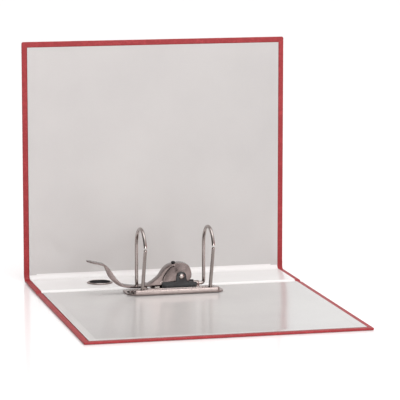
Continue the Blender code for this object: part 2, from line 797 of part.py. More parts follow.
def make_lever_arm():
    """A channel pressed from sheet: a web along the upper edge, and a cheek down each side."""
    upper, lower = lever_edges()
    outside = LEVER_WIDTH / 2
    inside = outside - LEVER_SHEET
    loops = []
    bm = bmesh.new()
    last = len(upper) - 1
    for index, (top, bottom) in enumerate(zip(upper, lower)):
        along = (upper[min(index + 1, last)] - upper[max(index - 1, 0)]).normalized()
        down = Vector((along.y, -along.x))
        under = top + down * LEVER_SHEET
        if index in (0, last):
            bottom = top + down * (bottom - top).length
        section = [
            (top, -outside),
            (top, outside),
            (bottom, outside),
            (bottom, inside),
            (under, inside),
            (under, -inside),
            (bottom, -inside),
            (bottom, -outside),
        ]
        loops.append([bm.verts.new(mech(point.x, LEVER_Y + y, point.y)) for point, y in section])
    for here, there in zip(loops, loops[1:]):
        for side in range(8):
            bm.faces.new((here[side - 1], here[side], there[side], there[side - 1]))
    bm.faces.new(loops[0])
    bm.faces.new(loops[-1])
    bmesh.ops.triangulate(bm, faces=bm.faces)
    lever = object_from("lever_arm", bm, mech(PIVOT_X, LEVER_Y, PIVOT_Z))

    def holes(bm):
        reach = Vector((0, LEVER_WIDTH, 0))
        pivot = mech(PIVOT_X, LEVER_Y, PIVOT_Z)
        roller = mech(ROLLER_X, LEVER_Y, ROLLER_Z)
        for centre, radius in ((pivot, PIN_RADIUS), (roller, ROLLER_PIN_RADIUS)):
            add_cylinder(bm, centre - reach, centre + reach, radius + BORE_FIT)

    boolean(lever, cutter("lever_holes", holes))
    finish(smooth_round(lever), STEEL, 0.2, 1.0)


def make_roller():
    """The roller that presses the crank down, and its pin through the lever's cheeks."""
    centre = mech(ROLLER_X, LEVER_Y, ROLLER_Z)
    half = ROLLER_WIDTH / 2
    bore = ROLLER_PIN_RADIUS + BORE_FIT
    profile = [
        (bore, -half),
        (ROLLER_RADIUS - ROLLER_EDGE, -half),
        (ROLLER_RADIUS, ROLLER_EDGE - half),
        (ROLLER_RADIUS, half - ROLLER_EDGE),
        (ROLLER_RADIUS - ROLLER_EDGE, half),
        (bore, half),
    ]
    bm = bmesh.new()
    lathe(bm, profile, centre, (0, 1, 0), 24)
    finish(smooth_round(object_from("lever_roller", bm, centre)), BLACK, 0.4)

    reach = LEVER_WIDTH / 2 + BORE_FIT
    end = reach + ROLLER_PIN_HEAD
    pin_profile = [
        (0, -end),
        (ROLLER_PIN_HEAD_RADIUS, -end),
        (ROLLER_PIN_HEAD_RADIUS, -reach),
        (ROLLER_PIN_RADIUS, -reach),
        (ROLLER_PIN_RADIUS, reach),
        (ROLLER_PIN_HEAD_RADIUS, reach),
        (ROLLER_PIN_HEAD_RADIUS, end),
        (0, end),
    ]
    bm = bmesh.new()
    lathe(bm, pin_profile, centre, (0, 1, 0), 16)
    finish(smooth_round(object_from("roller_pin", bm, centre)), STEEL, 0.2, 1.0)


def make_lever_pad():
    """A small rubber button on the lever's hump, where the front cover may touch it."""
    seat = mech(PIVOT_X + PAD_X, LEVER_Y, PIVOT_Z + PAD_RISE)
    profile = [
        (0, 0),
        (PAD_RADIUS, 0),
        (PAD_RADIUS, 0.4 * PAD_HEIGHT),
        (0.85 * PAD_RADIUS, 0.75 * PAD_HEIGHT),
        (0.4 * PAD_RADIUS, 0.95 * PAD_HEIGHT),
        (0, PAD_HEIGHT),
    ]
    bm = bmesh.new()
    lathe(bm, profile, seat, (0, 0, 1), 20)
    finish(smooth_round(object_from("lever_pad", bm, seat)), BLACK, 0.6)


def make_compressor():
    """The bar that presses the paper down: a pressed channel, with a bush on each post."""
    half = BAR_LENGTH / 2
    near = BAR_MID_Y - BAR_WIDTH / 2
    far = BAR_MID_Y + BAR_WIDTH / 2
    bm = bmesh.new()
    add_box(bm, mech(-half, near, PLATE_Z + FIT), mech(half, far, BAR_TOP))
    round_upright_edges(bm, BAR_CORNER, 4)
    bar = object_from("compressor_bar", bm, mech(0, BAR_MID_Y, BAR_TOP))

    def hollow(bm):
        add_box(
            bm,
            mech(BAR_SHEET * 2 - half, near + BAR_SHEET, 0),
            mech(half - BAR_SHEET * 2, far - BAR_SHEET, BAR_TOP - BAR_SHEET),
        )

    def plate_room(bm):
        plate_edge = LEVER_Y - BASE_WIDTH / 2 - FIT
        add_box(bm, mech(-BASE_LENGTH, plate_edge, 0), mech(BASE_LENGTH, far + FIT, PLATE_TOP + FIT))

    def post_holes(bm):
        for side in (-1, 1):
            foot = POST_FOOT + Vector((MECH_X + side * HOLE_PITCH / 2, 0, 0))
            reach = POST_DIRECTION * BAR_WIDTH
            add_cylinder(bm, foot - reach, foot + 2 * reach, WIRE_RADIUS + 2 * BORE_FIT)

    boolean(bar, cutter("bar_hollow", hollow))
    boolean(bar, cutter("bar_plate_room", plate_room))
    boolean(bar, cutter("bar_post_holes", post_holes))
    finish(bar, STEEL, 0.25, 1.0)

    bush_top = BAR_TOP - BAR_SHEET - BORE_FIT
    bush_low = PLATE_TOP + 4 * FIT
    for name, side in (("bar_bush_left", -1), ("bar_bush_right", 1)):
        along = (bush_top + bush_low) / 2 - POST_FOOT.z
        centre_y = POST_FOOT.y + along * POST_DIRECTION.y / POST_DIRECTION.z
        x = side * HOLE_PITCH / 2
        bm = bmesh.new()
        low = mech(x, centre_y, bush_low)
        radius = BAR_WIDTH / 2 - BAR_SHEET - FIT - abs(centre_y - BAR_MID_Y)
        add_cylinder(bm, low, mech(x, centre_y, bush_top), radius, segments=20)
        bush = object_from(name, bm, low)

        def bore(bm):
            foot = POST_FOOT + Vector((MECH_X + x, 0, 0))
            reach = POST_DIRECTION * BAR_WIDTH
            add_cylinder(bm, foot - reach, foot + 2 * reach, WIRE_RADIUS + BORE_FIT)

        boolean(bush, cutter(name + "_bore", bore))
        finish(smooth_round(bush), BLACK, 0.5)


def main():
    clear_scene()
    make_case()
    make_finger_ring()
    make_label()
    make_base_plate()
    make_base_rivets()
    make_fixed_posts()
    make_bow_bearings()
    make_arch_bow()
    make_leaf_spring()
    make_bearing_block()
    make_lever_pin()
    make_lever_arm()
    make_roller()
    make_lever_pad()
    make_compressor()


main()
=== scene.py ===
"""Looks for an A4 lever arch file that lies open, its front cover upright.

Metres, +Z up. X runs along the file's height, Y from the rear cover's free edge to the
spine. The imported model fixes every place; the pieces below stand on it.
"""

import json
import math

import bmesh
import bpy
from mathutils import Matrix, Vector


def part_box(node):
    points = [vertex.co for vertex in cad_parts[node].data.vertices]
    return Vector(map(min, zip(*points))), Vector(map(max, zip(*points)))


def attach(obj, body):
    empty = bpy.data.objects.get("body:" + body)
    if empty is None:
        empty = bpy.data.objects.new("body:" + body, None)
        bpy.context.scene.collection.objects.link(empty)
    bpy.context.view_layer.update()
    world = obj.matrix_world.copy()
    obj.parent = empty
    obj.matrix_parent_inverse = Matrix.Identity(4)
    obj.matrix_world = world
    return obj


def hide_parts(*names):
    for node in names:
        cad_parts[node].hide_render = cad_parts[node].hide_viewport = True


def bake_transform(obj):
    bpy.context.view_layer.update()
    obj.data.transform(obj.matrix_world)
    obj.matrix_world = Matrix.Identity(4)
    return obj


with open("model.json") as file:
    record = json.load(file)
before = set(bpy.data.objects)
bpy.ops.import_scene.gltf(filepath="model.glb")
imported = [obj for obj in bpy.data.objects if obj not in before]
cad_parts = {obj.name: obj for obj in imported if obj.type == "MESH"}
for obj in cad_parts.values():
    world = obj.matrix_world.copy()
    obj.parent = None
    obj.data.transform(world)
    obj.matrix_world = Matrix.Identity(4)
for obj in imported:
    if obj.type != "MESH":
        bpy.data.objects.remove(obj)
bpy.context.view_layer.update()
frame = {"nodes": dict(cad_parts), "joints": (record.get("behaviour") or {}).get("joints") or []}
JOINTS = {joint["name"]: joint for joint in frame["joints"]}

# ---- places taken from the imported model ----
REAR_LOW, REAR_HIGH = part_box("rear_foil")
SPINE_LOW, SPINE_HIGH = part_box("spine_foil")
FRONT_LOW, FRONT_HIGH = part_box("front_foil")
REAR_LINER_LOW, REAR_LINER_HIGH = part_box("rear_liner")
SPINE_LINER_LOW, SPINE_LINER_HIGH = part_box("spine_liner")
FRONT_LINER_LOW, FRONT_LINER_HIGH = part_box("front_liner")
RING_LOW, RING_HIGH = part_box("finger_ring_outer")
PLATE_LOW, PLATE_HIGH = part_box("base_plate")
BAR_LOW, BAR_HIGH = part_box("compressor_bar")
BLOCK_LOW, BLOCK_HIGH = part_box("bearing_block")
HALF = REAR_HIGH.x
LINER_HALF = REAR_LINER_HIGH.x
SPINE_LINER_HALF = SPINE_LINER_HIGH.x
MECH_X = (PLATE_LOW.x + PLATE_HIGH.x) / 2
BOW = Vector(JOINTS["arch_open"]["pos_m"])
PIN = Vector(JOINTS["lever_lift"]["pos_m"])
POST_DIRECTION = Vector(JOINTS["bar_slide"]["axis"])
RIVETS = [
    (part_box(f"base_rivet_{number}")[0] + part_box(f"base_rivet_{number}")[1]) / 2
    for number in (1, 2, 3, 4)
]

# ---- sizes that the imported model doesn't name ----
CORNER = 0.0022               # corners of the covers, seen flat
LINER_CORNER = 0.0005
EDGE = 0.0011                 # rounding where the foil goes round a board
TURN_IN_STEP = 0.0085         # from the liner's edge to where the foil under it ends
FOIL_STEP = 0.00014
CREASE_SHEET = 0.0009         # where the case folds and no board lies in it
BEND_INSIDE = 0.0042          # of the liner, between spine and front cover
BEND_OUTSIDE = 0.0100         # of the foil there
LINER_SHEET = 0.0004
WIRE = 0.002                  # radius of the arches' and the posts' wire
HOLE_PITCH = 0.080
ARCH_RADIUS = 0.024           # of the wire's middle
ARCH_TOP = 0.0802             # above the floor
JOIN_ANGLE = math.radians(10)  # of the joint between arch and post, above the arch's middle
POST_INSET = 0.0305           # from the bow's shaft to the posts' feet
CRANK_REACH = 0.015
CRANK_LEFT = -0.024           # from the mechanism's middle
CRANK_RIGHT = -0.008
BEND = 0.0032                 # inside the wire's bends, to its middle
SHEET = 0.0012                # pressed steel of the mechanism
LAP = 0.0006                  # of a crease strip into the covers' ends
TUCK = 0.0001                 # of a crease strip behind the foil's faces beside it
HAIR = 0.00003                # two faces that far apart don't flicker
PAST = 0.001                  # how far a cutter reaches past a face that it cuts
SAME = 1e-6                   # points closer than that are one
UP = (2, 1)                   # the axis through a sheet, and the side of it that shows
TOWARDS_REAR = (1, -1)


# ---- tools ----

def linear(code):
    """An sRGB hex colour as linear RGBA."""
    values = [int(code[place:place + 2], 16) / 255 for place in (0, 2, 4)]
    return (*[v / 12.92 if v <= 0.04045 else ((v + 0.055) / 1.055) ** 2.4 for v in values], 1)


def add_node(tree, kind, inputs=None, **settings):
    """Adds a shader node of a kind; each input takes a value or another node's output."""
    made = tree.nodes.new(f"ShaderNode{kind}")
    for name, value in settings.items():
        setattr(made, name, value)
    for name, value in (inputs or {}).items():
        if isinstance(value, bpy.types.NodeSocket):
            tree.links.new(value, made.inputs[name])
        else:
            made.inputs[name].default_value = value
    return made


def new_material(name, **inputs):
    """A material with its Principled shader, which takes the given plain values."""
    material = bpy.data.materials.new(name)
    material.use_nodes = True
    shader = material.node_tree.nodes["Principled BSDF"]
    for label, value in inputs.items():
        shader.inputs[label.replace("_", " ")].default_value = value
    return material, material.node_tree, shader


def add_box(bm, low, high):
    low, high = Vector(low), Vector(high)
    matrix = Matrix.Translation((low + high) / 2) @ Matrix.Diagonal((*(high - low), 1))
    return bmesh.ops.create_cube(bm, size=1, matrix=matrix)["verts"]


def add_rod(bm, start, end, radius, segments=48):
    start, end = Vector(start), Vector(end)
    turn = (end - start).to_track_quat("Z", "Y").to_matrix().to_4x4()
    bmesh.ops.create_cone(
        bm,
        cap_ends=True,
        segments=segments,
        radius1=radius,
        radius2=radius,
        depth=(end - start).length,
        matrix=Matrix.Translation((start + end) / 2) @ turn,
    )


def add_prism(bm, outline, offset):
    """A flat outline closed into a face and pulled along an offset."""
    face = bm.faces.new([bm.verts.new(point) for point in outline])
    grown = bmesh.ops.extrude_face_region(bm, geom=[face])
    moved = [item for item in grown["geom"] if isinstance(item, bmesh.types.BMVert)]
    bmesh.ops.translate(bm, verts=moved, vec=offset)


def along(edge, axis):
    """True for an edge that runs along the axis with that index."""
    step = edge.verts[1].co - edge.verts[0].co
    return abs(step[axis]) > 0.999 * step.length


def edges_along(bm, axis, verts=None):
    """The edges that run along an axis: all of them, or those between the given vertices."""
    ends = set(verts or bm.verts)
    return [edge for edge in bm.edges if along(edge, axis) and ends.issuperset(edge.verts)]


def top_edges(bm, level):
    """The edges that lie at the top, at the given height."""
    return [edge for edge in bm.edges if all(vert.co.z > level - SAME for vert in edge.verts)]


def slice_at(bm, axis, place):
    """Cuts new edges in where a plane square to the axis meets the mesh."""
    point, normal = Vector((0, 0, 0)), Vector((0, 0, 0))
    point[axis], normal[axis] = place, 1
    geom = bm.verts[:] + bm.edges[:] + bm.faces[:]
    bmesh.ops.bisect_plane(bm, geom=geom, plane_co=point, plane_no=normal, dist=SAME)


def round_edges(bm, edges, radius, segments=3):
    bmesh.ops.bevel(
        bm,
        geom=edges,
        offset=radius,
        offset_type="OFFSET",
        segments=segments,
        profile=0.5,
        affect="EDGES",
        clamp_overlap=True,
        material=-1,
    )


def spin_profile(bm, profile, centre, direction, steps):
    """Spins a profile of (radius, height) points round a line through the centre."""
    turn = Vector(direction).to_track_quat("Z", "Y").to_matrix().to_4x4()
    verts = [bm.verts.new((radius, 0, height)) for radius, height in profile]
    edges = [bm.edges.new(pair) for pair in zip(verts, verts[1:] + verts[:1])]
    bmesh.ops.spin(
        bm,
        geom=verts + edges,
        cent=(0, 0, 0),
        axis=(0, 0, 1),
        angle=math.tau,
        steps=steps,
        use_merge=True,
    )
    bmesh.ops.remove_doubles(bm, verts=bm.verts, dist=SAME)
    bmesh.ops.transform(bm, matrix=Matrix.Translation(centre) @ turn, verts=bm.verts)


def fillet(points, radius, steps=5):
    """A path whose inner corners are rounded; one radius, or one for each inner corner."""
    points = [Vector(point) for point in points]
    radii = radius if isinstance(radius, list) else [radius] * (len(points) - 2)
    path = [points[0]]
    for before, corner, after, size in zip(points, points[1:], points[2:], radii):
        back = (before - corner).normalized()
        on = (after - corner).normalized()
        half = back.angle(on) / 2
        centre = corner + (back + on).normalized() * size / math.sin(half)
        first = (corner + back * size / math.tan(half) - centre).normalized()
        last = (corner + on * size / math.tan(half) - centre).normalized()
        for step in range(steps + 1):
            path.append(centre + size * first.slerp(last, step / steps))
    return path + [points[-1]]


def round_outline(points, radius, steps=4):
    """A closed outline whose corners are all rounded."""
    points = [Vector(point) for point in points]
    middle = (points[0] + points[-1]) / 2
    return fillet([middle, *points, middle], radius, steps)[1:-1]


def arc(centre, radius, start, end, steps):
    """Points in the YZ plane, angles from +Y towards +Z."""
    points = []
    for step in range(steps + 1):
        angle = start + (end - start) * step / steps
        points.append(Vector(centre) + radius * Vector((0, math.cos(angle), math.sin(angle))))
    return points


def spline_through(points, steps):
    """A smooth curve through 2D points."""
    points = [Vector(point) for point in points]
    padded = [2 * points[0] - points[1], *points, 2 * points[-1] - points[-2]]
    curve = []
    for a, b, c, d in zip(padded, padded[1:], padded[2:], padded[3:]):
        slope = (c - a) / 2
        bend = (2 * a - 5 * b + 4 * c - d) / 2
        twist = (3 * b - a - 3 * c + d) / 2
        for step in range(steps):
            t = step / steps
            curve.append(b + slope * t + bend * t**2 + twist * t**3)
    return curve + [points[-1]]


def make_object(name, bm):
    """Turns a bmesh into an object with outward faces."""
    bmesh.ops.recalc_face_normals(bm, faces=bm.faces)
    mesh = bpy.data.meshes.new(name)
    bm.to_mesh(mesh)
    bm.free()
    obj = bpy.data.objects.new(name, mesh)
    bpy.context.scene.collection.objects.link(obj)
    return obj


def make_spun(name, profile, centre, direction, steps):
    """A turned piece, from a profile of (radius, height) points."""
    bm = bmesh.new()
    spin_profile(bm, profile, centre, direction, steps)
    return make_object(name, bm)


def settle(obj):
    """Applies the object's modifiers."""
    bpy.context.view_layer.update()
    evaluated = obj.evaluated_get(bpy.context.evaluated_depsgraph_get())
    mesh = bpy.data.meshes.new_from_object(evaluated)
    obj.modifiers.clear()
    obj.data = mesh
    return obj


def cut(obj, build, operation="DIFFERENCE"):
    """Cuts the object with the solid that build adds to a bmesh."""
    bm = bmesh.new()
    build(bm)
    tool = make_object("tool", bm)
    modifier = obj.modifiers.new("cut", "BOOLEAN")
    modifier.operation = operation
    modifier.solver = "EXACT"
    modifier.object = tool
    settle(obj)
    bpy.data.objects.remove(tool)
    return obj


def soften(obj, width, segments=2, angle=35):
    """Rounds the edges sharper than the angle."""
    modifier = obj.modifiers.new("soften", "BEVEL")
    modifier.width = width
    modifier.segments = segments
    modifier.limit_method = "ANGLE"
    modifier.angle_limit = math.radians(angle)
    modifier.harden_normals = False
    return settle(obj)


def dress(obj, material, body=None, replaced=(), smooth=40):
    """Gives a piece its finish, its shading and its body, and hides the CAD nodes it stands for."""
    obj.data.materials.clear()
    obj.data.materials.append(material)
    obj.data.shade_smooth()
    obj.data.set_sharp_from_angle(angle=math.radians(smooth))
    if replaced:
        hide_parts(*replaced)
    if body:
        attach(obj, body)
    return obj


# ---- camera, floor and light ----

def make_camera():
    camera = bpy.data.objects.new("camera", bpy.data.cameras.new("camera"))
    camera.data.sensor_width = 36
    camera.data.lens = 223.2
    camera.data.clip_end = 100
    camera.location = (-0.6472, -2.6764, 0.5436)
    aim = Vector((0.0356, 0.0998, 0.1036)) - camera.location
    camera.rotation_euler = aim.to_track_quat("-Z", "Y").to_euler()
    bpy.context.scene.collection.objects.link(camera)
    bpy.context.scene.camera = camera


def make_floor():
    """White lacquered table top: mirrors faintly, and softly."""
    bm = bmesh.new()
    bmesh.ops.create_grid(bm, x_segments=1, y_segments=1, size=30)
    bmesh.ops.translate(bm, verts=bm.verts, vec=(0, 0, -0.0003))
    floor = make_object("floor", bm)
    lacquer = new_material(
        "white lacquer",
        Base_Color=linear("F7F6F6"),
        Roughness=0.16,
        Specular_IOR_Level=0.35,
        Emission_Color=(1, 1, 1, 1),
        Emission_Strength=0.12,
    )[0]
    floor.data.materials.append(lacquer)


def make_light(name, place, size, power):
    """A softbox that faces the middle of the open file."""
    light = bpy.data.lights.new(name, "AREA")
    light.shape = "RECTANGLE"
    light.size, light.size_y = size
    light.energy = power
    lamp = bpy.data.objects.new(name, light)
    lamp.location = place
    aim = Vector((0, 0.02, 0.08)) - lamp.location
    lamp.rotation_euler = aim.to_track_quat("-Z", "Y").to_euler()
    bpy.context.scene.collection.objects.link(lamp)


def make_world():
    """A white studio that grows dim to the left. Low on its -Y side stand a grey wall, two
    white screens, a black flag and a red panel, so that the plating has something to mirror."""
    world = bpy.data.worlds.new("studio")
    bpy.context.scene.world = world
    world.use_nodes = True
    tree = world.node_tree
    direction = add_node(tree, "TexCoord").outputs["Generated"]
    parts = add_node(tree, "SeparateXYZ", {"Vector": direction})
    across = add_node(tree, "MapRange", {"Value": parts.outputs["X"], "From Min": -1.0})
    ramp = add_node(tree, "ValToRGB", {"Fac": across.outputs["Result"]})
    stops = [
        (0.00, (0.16, 0.15, 0.15, 1)),    # the grey wall
        (0.22, (0.20, 0.19, 0.19, 1)),
        (0.28, (1.10, 1.10, 1.10, 1)),    # a white screen
        (0.42, (1.10, 1.10, 1.10, 1)),
        (0.45, (0.08, 0.07, 0.07, 1)),    # the black flag
        (0.55, (0.08, 0.07, 0.07, 1)),
        (0.59, (1.10, 1.10, 1.10, 1)),    # a white screen
        (0.72, (1.10, 1.10, 1.10, 1)),
        (0.77, (0.45, 0.10, 0.10, 1)),    # the red panel
        (1.00, (0.40, 0.10, 0.10, 1)),
    ]
    elements = ramp.color_ramp.elements
    while len(elements) < len(stops):
        elements.new(0.5)
    for element, (position, colour) in zip(elements, stops):
        element.position = position
        element.color = colour
    behind = add_node(
        tree, "MapRange", {"Value": parts.outputs["Y"], "From Min": 0.05, "From Max": -0.30}
    )
    high = add_node(
        tree, "MapRange", {"Value": parts.outputs["Z"], "From Min": 0.75, "From Max": 0.45}
    )
    share = add_node(
        tree, "Math", {0: behind.outputs["Result"], 1: high.outputs["Result"]}, operation="MULTIPLY"
    )
    colour = add_node(
        tree,
        "Mix",
        {"Factor": share.outputs["Value"], "A": (1, 1, 1, 1), "B": ramp.outputs["Color"]},
        data_type="RGBA",
    )
    left = add_node(
        tree,
        "MapRange",
        {"Value": parts.outputs["X"], "From Min": -0.75, "From Max": -0.30, "To Min": 0.16},
    )
    background = tree.nodes["Background"]
    tree.links.new(colour.outputs["Result"], background.inputs["Color"])
    tree.links.new(left.outputs["Result"], background.inputs["Strength"])


def make_lighting():
    make_world()
    make_light("softbox_top", (0.2, -0.1, 2.4), (2.0, 2.0), 17)
    make_light("softbox_front", (0.3, -2.2, 0.7), (1.8, 0.8), 19)
    bpy.context.scene.view_settings.view_transform = "Standard"


# ---- finishes ----

def finish_surface(tree, shader, colour, gloss, rough, relief, strength, depth):
    """Links a colour, a roughness that follows gloss through the range rough, and a bump
    of the given depth that follows relief."""
    roughness = add_node(tree, "MapRange", {"Value": gloss, "To Min": rough[0], "To Max": rough[1]})
    bump = add_node(tree, "Bump", {"Height": relief, "Strength": strength, "Distance": depth})
    tree.links.new(colour, shader.inputs["Base Color"])
    tree.links.new(roughness.outputs["Result"], shader.inputs["Roughness"])
    tree.links.new(bump.outputs["Normal"], shader.inputs["Normal"])


def make_foil():
    """Polypropylene foil embossed with a leather grain: pebbles 1.6 mm across, their
    valleys duller and painted darker as shade, over a slow unevenness from the embossing roller."""
    material, tree, shader = new_material("embossed polypropylene foil", IOR=1.49)
    place = add_node(tree, "TexCoord").outputs["Object"]
    drift = add_node(tree, "TexNoise", {"Vector": place, "Scale": 420, "Detail": 2})
    moved = add_node(
        tree,
        "VectorMath",
        {0: drift.outputs["Color"], 1: (0.0009, 0.0009, 0.0009)},
        operation="MULTIPLY",
    )
    warped = add_node(tree, "VectorMath", {0: place, 1: moved.outputs["Vector"]}, operation="ADD")
    pebble = add_node(
        tree, "TexVoronoi", {"Vector": warped.outputs["Vector"], "Scale": 625}, feature="SMOOTH_F1"
    )
    uneven = add_node(tree, "TexNoise", {"Vector": place, "Scale": 150, "Detail": 3})
    height = add_node(
        tree,
        "Math",
        {0: pebble.outputs["Distance"], 1: -1.0, 2: uneven.outputs["Fac"]},
        operation="MULTIPLY_ADD",
    )
    # The ramp paints the pebble valleys darker as shade (9C2328) than the tops (B23036); the slow
    # unevenness shifts the tone at random.
    tone = add_node(tree, "ValToRGB", {"Fac": height.outputs["Value"]})
    tone.color_ramp.elements[0].color = linear("9C2328")
    tone.color_ramp.elements[0].position = 0.0
    tone.color_ramp.elements[1].color = linear("B23036")
    tone.color_ramp.elements[1].position = 0.45
    relief = height.outputs["Value"]
    finish_surface(tree, shader, tone.outputs["Color"], relief, (0.55, 0.36), relief, 0.5, 0.00025)
    return material


def make_paper(name, dull, pale):
    """Coated liner paper: a satin face with fibres just under the coating."""
    material, tree, shader = new_material(name, IOR=1.5)
    place = add_node(tree, "TexCoord").outputs["Object"]
    cloud = add_node(tree, "TexNoise", {"Vector": place, "Scale": 9, "Detail": 3})
    fibre = add_node(tree, "TexNoise", {"Vector": place, "Scale": 900, "Detail": 4, "Roughness": 0.7})
    blend = add_node(
        tree,
        "Math",
        {0: fibre.outputs["Fac"], 1: 0.35, 2: cloud.outputs["Fac"]},
        operation="MULTIPLY_ADD",
    )
    tone = add_node(tree, "ValToRGB", {"Fac": blend.outputs["Value"]})
    tone.color_ramp.elements[0].color = linear(dull)
    tone.color_ramp.elements[0].position = 0.35
    tone.color_ramp.elements[1].color = linear(pale)
    tone.color_ramp.elements[1].position = 1.0
    relief = fibre.outputs["Fac"]
    finish_surface(tree, shader, tone.outputs["Color"], relief, (0.15, 0.25), relief, 0.15, 0.00003)
    return material


def make_metal(name, bright, dull, smooth, spread):
    """Steel with a plated or rolled face: fine draw lines along X, and a faint cloudiness."""
    material, tree, shader = new_material(name, Metallic=1.0)
    place = add_node(tree, "TexCoord").outputs["Object"]
    stretched = add_node(tree, "Mapping", {"Vector": place, "Scale": (60, 2600, 2600)})
    lines = add_node(
        tree, "TexNoise", {"Vector": stretched.outputs["Vector"], "Scale": 1, "Detail": 3}
    )
    cloud = add_node(tree, "TexNoise", {"Vector": place, "Scale": 260, "Detail": 3})
    tone = add_node(
        tree,
        "Mix",
        {"Factor": cloud.outputs["Fac"], "A": linear(dull), "B": linear(bright)},
        data_type="RGBA",
    )
    relief = lines.outputs["Fac"]
    rough = (smooth, smooth + spread)
    finish_surface(tree, shader, tone.outputs["Result"], relief, rough, relief, 0.12, 0.00003)
    return material


def make_moulded(name, colour, pale, smooth):
    """Injection-moulded plastic or rubber: an even, spark-eroded face with a fine grit."""
    material, tree, shader = new_material(name, IOR=1.5)
    place = add_node(tree, "TexCoord").outputs["Object"]
    grit = add_node(tree, "TexNoise", {"Vector": place, "Scale": 2400, "Detail": 2})
    cloud = add_node(tree, "TexNoise", {"Vector": place, "Scale": 180, "Detail": 2})
    tone = add_node(
        tree,
        "Mix",
        {"Factor": cloud.outputs["Fac"], "A": linear(colour), "B": linear(pale)},
        data_type="RGBA",
    )
    rough = (smooth, smooth + 0.12)
    gloss, relief = cloud.outputs["Fac"], grit.outputs["Fac"]
    finish_surface(tree, shader, tone.outputs["Result"], gloss, rough, relief, 0.2, 0.00004)
    return material


def make_film():
    """Clear PVC film, slightly wavy from its heat seals."""
    material, tree, shader = new_material(
        "clear pvc film", Base_Color=linear("F4F4F4"), Roughness=0.08, IOR=1.53, Alpha=0.22
    )
    place = add_node(tree, "TexCoord").outputs["Object"]
    wave = add_node(tree, "TexNoise", {"Vector": place, "Scale": 70, "Detail": 2})
    bump = add_node(
        tree, "Bump", {"Height": wave.outputs["Fac"], "Strength": 0.25, "Distance": 0.0006}
    )
    tree.links.new(bump.outputs["Normal"], shader.inputs["Normal"])
    return material


def make_ink(name, colour):
    """Printed card: an ink film on white board, with the board's fine mottle in it."""
    material, tree, shader = new_material(name, IOR=1.5, Roughness=0.45)
    place = add_node(tree, "TexCoord").outputs["Object"]
    mottle = add_node(tree, "TexNoise", {"Vector": place, "Scale": 1500, "Detail": 3})
    value = add_node(
        tree, "MapRange", {"Value": mottle.outputs["Fac"], "To Min": 0.9, "To Max": 1.08}
    ).outputs["Result"]
    tone = add_node(tree, "HueSaturation", {"Color": linear(colour), "Value": value})
    tree.links.new(tone.outputs["Color"], shader.inputs["Base Color"])
    return material


FOIL = make_foil()
# Light grey, for the covers.
PAPER = make_paper("coated liner paper", "C6C4C3", "D2D0CE")
# The whiter strip glued along the spine and over both folds.
SPINE_PAPER = make_paper("white coated spine paper", "F0EFEE", "F7F6F5")
# Nickel-plated pressings: a warm grey mirror, softened by the rolled sheet under it; the colour is
# also tinted pink as a painted reflection of the red foil.
NICKEL = make_metal("nickel plated pressed steel", "AFA29E", "8E827F", 0.10, 0.14)
# The lever's nickel plating: its colour painted darker as shade and dark reflection, and tinted pink
# as a painted reflection of the red foil; a little smoother.
SHADED_NICKEL = make_metal("nickel plated pressed steel with painted shade", "8A7D7A", "6A5E5C", 0.10, 0.12)
# Nickel-plated drawn wire, polished: the sharpest mirror on the file; its colour is tinted pink as a
# painted reflection of the red foil.
WIRE_NICKEL = make_metal("nickel plated drawn wire", "B9B0AC", "9B918D", 0.04, 0.05)
# Rolled spring strip: grey and duller than the plating.
SPRING = make_metal("rolled spring steel", "9A9894", "7C7A77", 0.28, 0.14)
# Moulded ABS, near black, with a low sheen.
BLACK_ABS = make_moulded("moulded black abs", "111214", "1B1C1F", 0.34)
# Moulded rubber: black and dull.
RUBBER = make_moulded("moulded black rubber", "141414", "1F1E1E", 0.6)
FILM = make_film()
CARD_WHITE = make_ink("white label card", "EDEDEB")
INK_PETROL = make_ink("petrol blue ink", "1E3B42")
INK_TEAL = make_ink("pale teal ink", "A9C6C4")
INK_GREY = make_ink("grey ink", "8D9396")
INK_OCHRE = make_ink("ochre ink", "C9A27C")


# ---- the case ----

def make_cover(name, body, side, low, high, thin, free):
    """A board wrapped in foil. thin is the axis through it; free is its free edge."""
    bm = bmesh.new()
    add_box(bm, low, high)
    upright = edges_along(bm, thin)
    axis, value = free
    at_free = [e for e in upright if abs(e.verts[0].co[axis] - value) < 1e-4]
    rest = [e for e in upright if e not in at_free]
    round_edges(bm, at_free, CORNER, 6)
    round_edges(bm, rest, EDGE, 3)
    rim = [edge for edge in bm.edges if not along(edge, thin)]
    round_edges(bm, rim, EDGE, 4)
    cover = make_object(name, bm)
    return dress(cover, FOIL, body, [f"{side}_foil", f"{side}_board"])


def make_liner(name, body, side, box, facing, steps, paper):
    """A paper sheet glued inside, lower where no foil lies under it.

    facing is the axis through it and the side that shows. steps are (axis, place, side):
    beyond the place, towards the side, the sheet lies on the turned-in foil."""
    low, high = box
    thin, outward = facing
    bm = bmesh.new()
    add_box(bm, low, high)
    round_edges(bm, edges_along(bm, thin), LINER_CORNER, 3)
    slope = 0.0006
    for axis, place, beyond in steps:
        for offset in (0, -beyond * slope):
            slice_at(bm, axis, place + offset)
    face_level = high[thin] if outward > 0 else low[thin]
    for vert in bm.verts:
        on_face = abs(vert.co[thin] - face_level) < 1e-5
        past = [(vert.co[axis] - place) * beyond for axis, place, beyond in steps]
        if on_face and max(past) < -slope / 2:
            vert.co[thin] -= outward * FOIL_STEP
    liner = make_object(name, bm)
    return dress(liner, paper, body, [f"{side}_liner"], smooth=25)


FOIL_LAYER = (HALF - TUCK, FOIL, "red_foil")
SPINE_PAPER_LAYER = (SPINE_LINER_HALF - TUCK, SPINE_PAPER, "liner_paper")


def make_strip(name, outline, layer):
    """A strip along X with the given side outline. Its name
    is that of the strip it stands for, with _strip added."""
    half, material, slot = layer
    bm = bmesh.new()
    add_prism(bm, [(-half, y, z) for y, z in outline], (2 * half, 0, 0))
    strip = make_object(name, bm)
    dress(strip, material, replaced=[name.removesuffix("_strip")], smooth=50)
    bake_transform(strip)


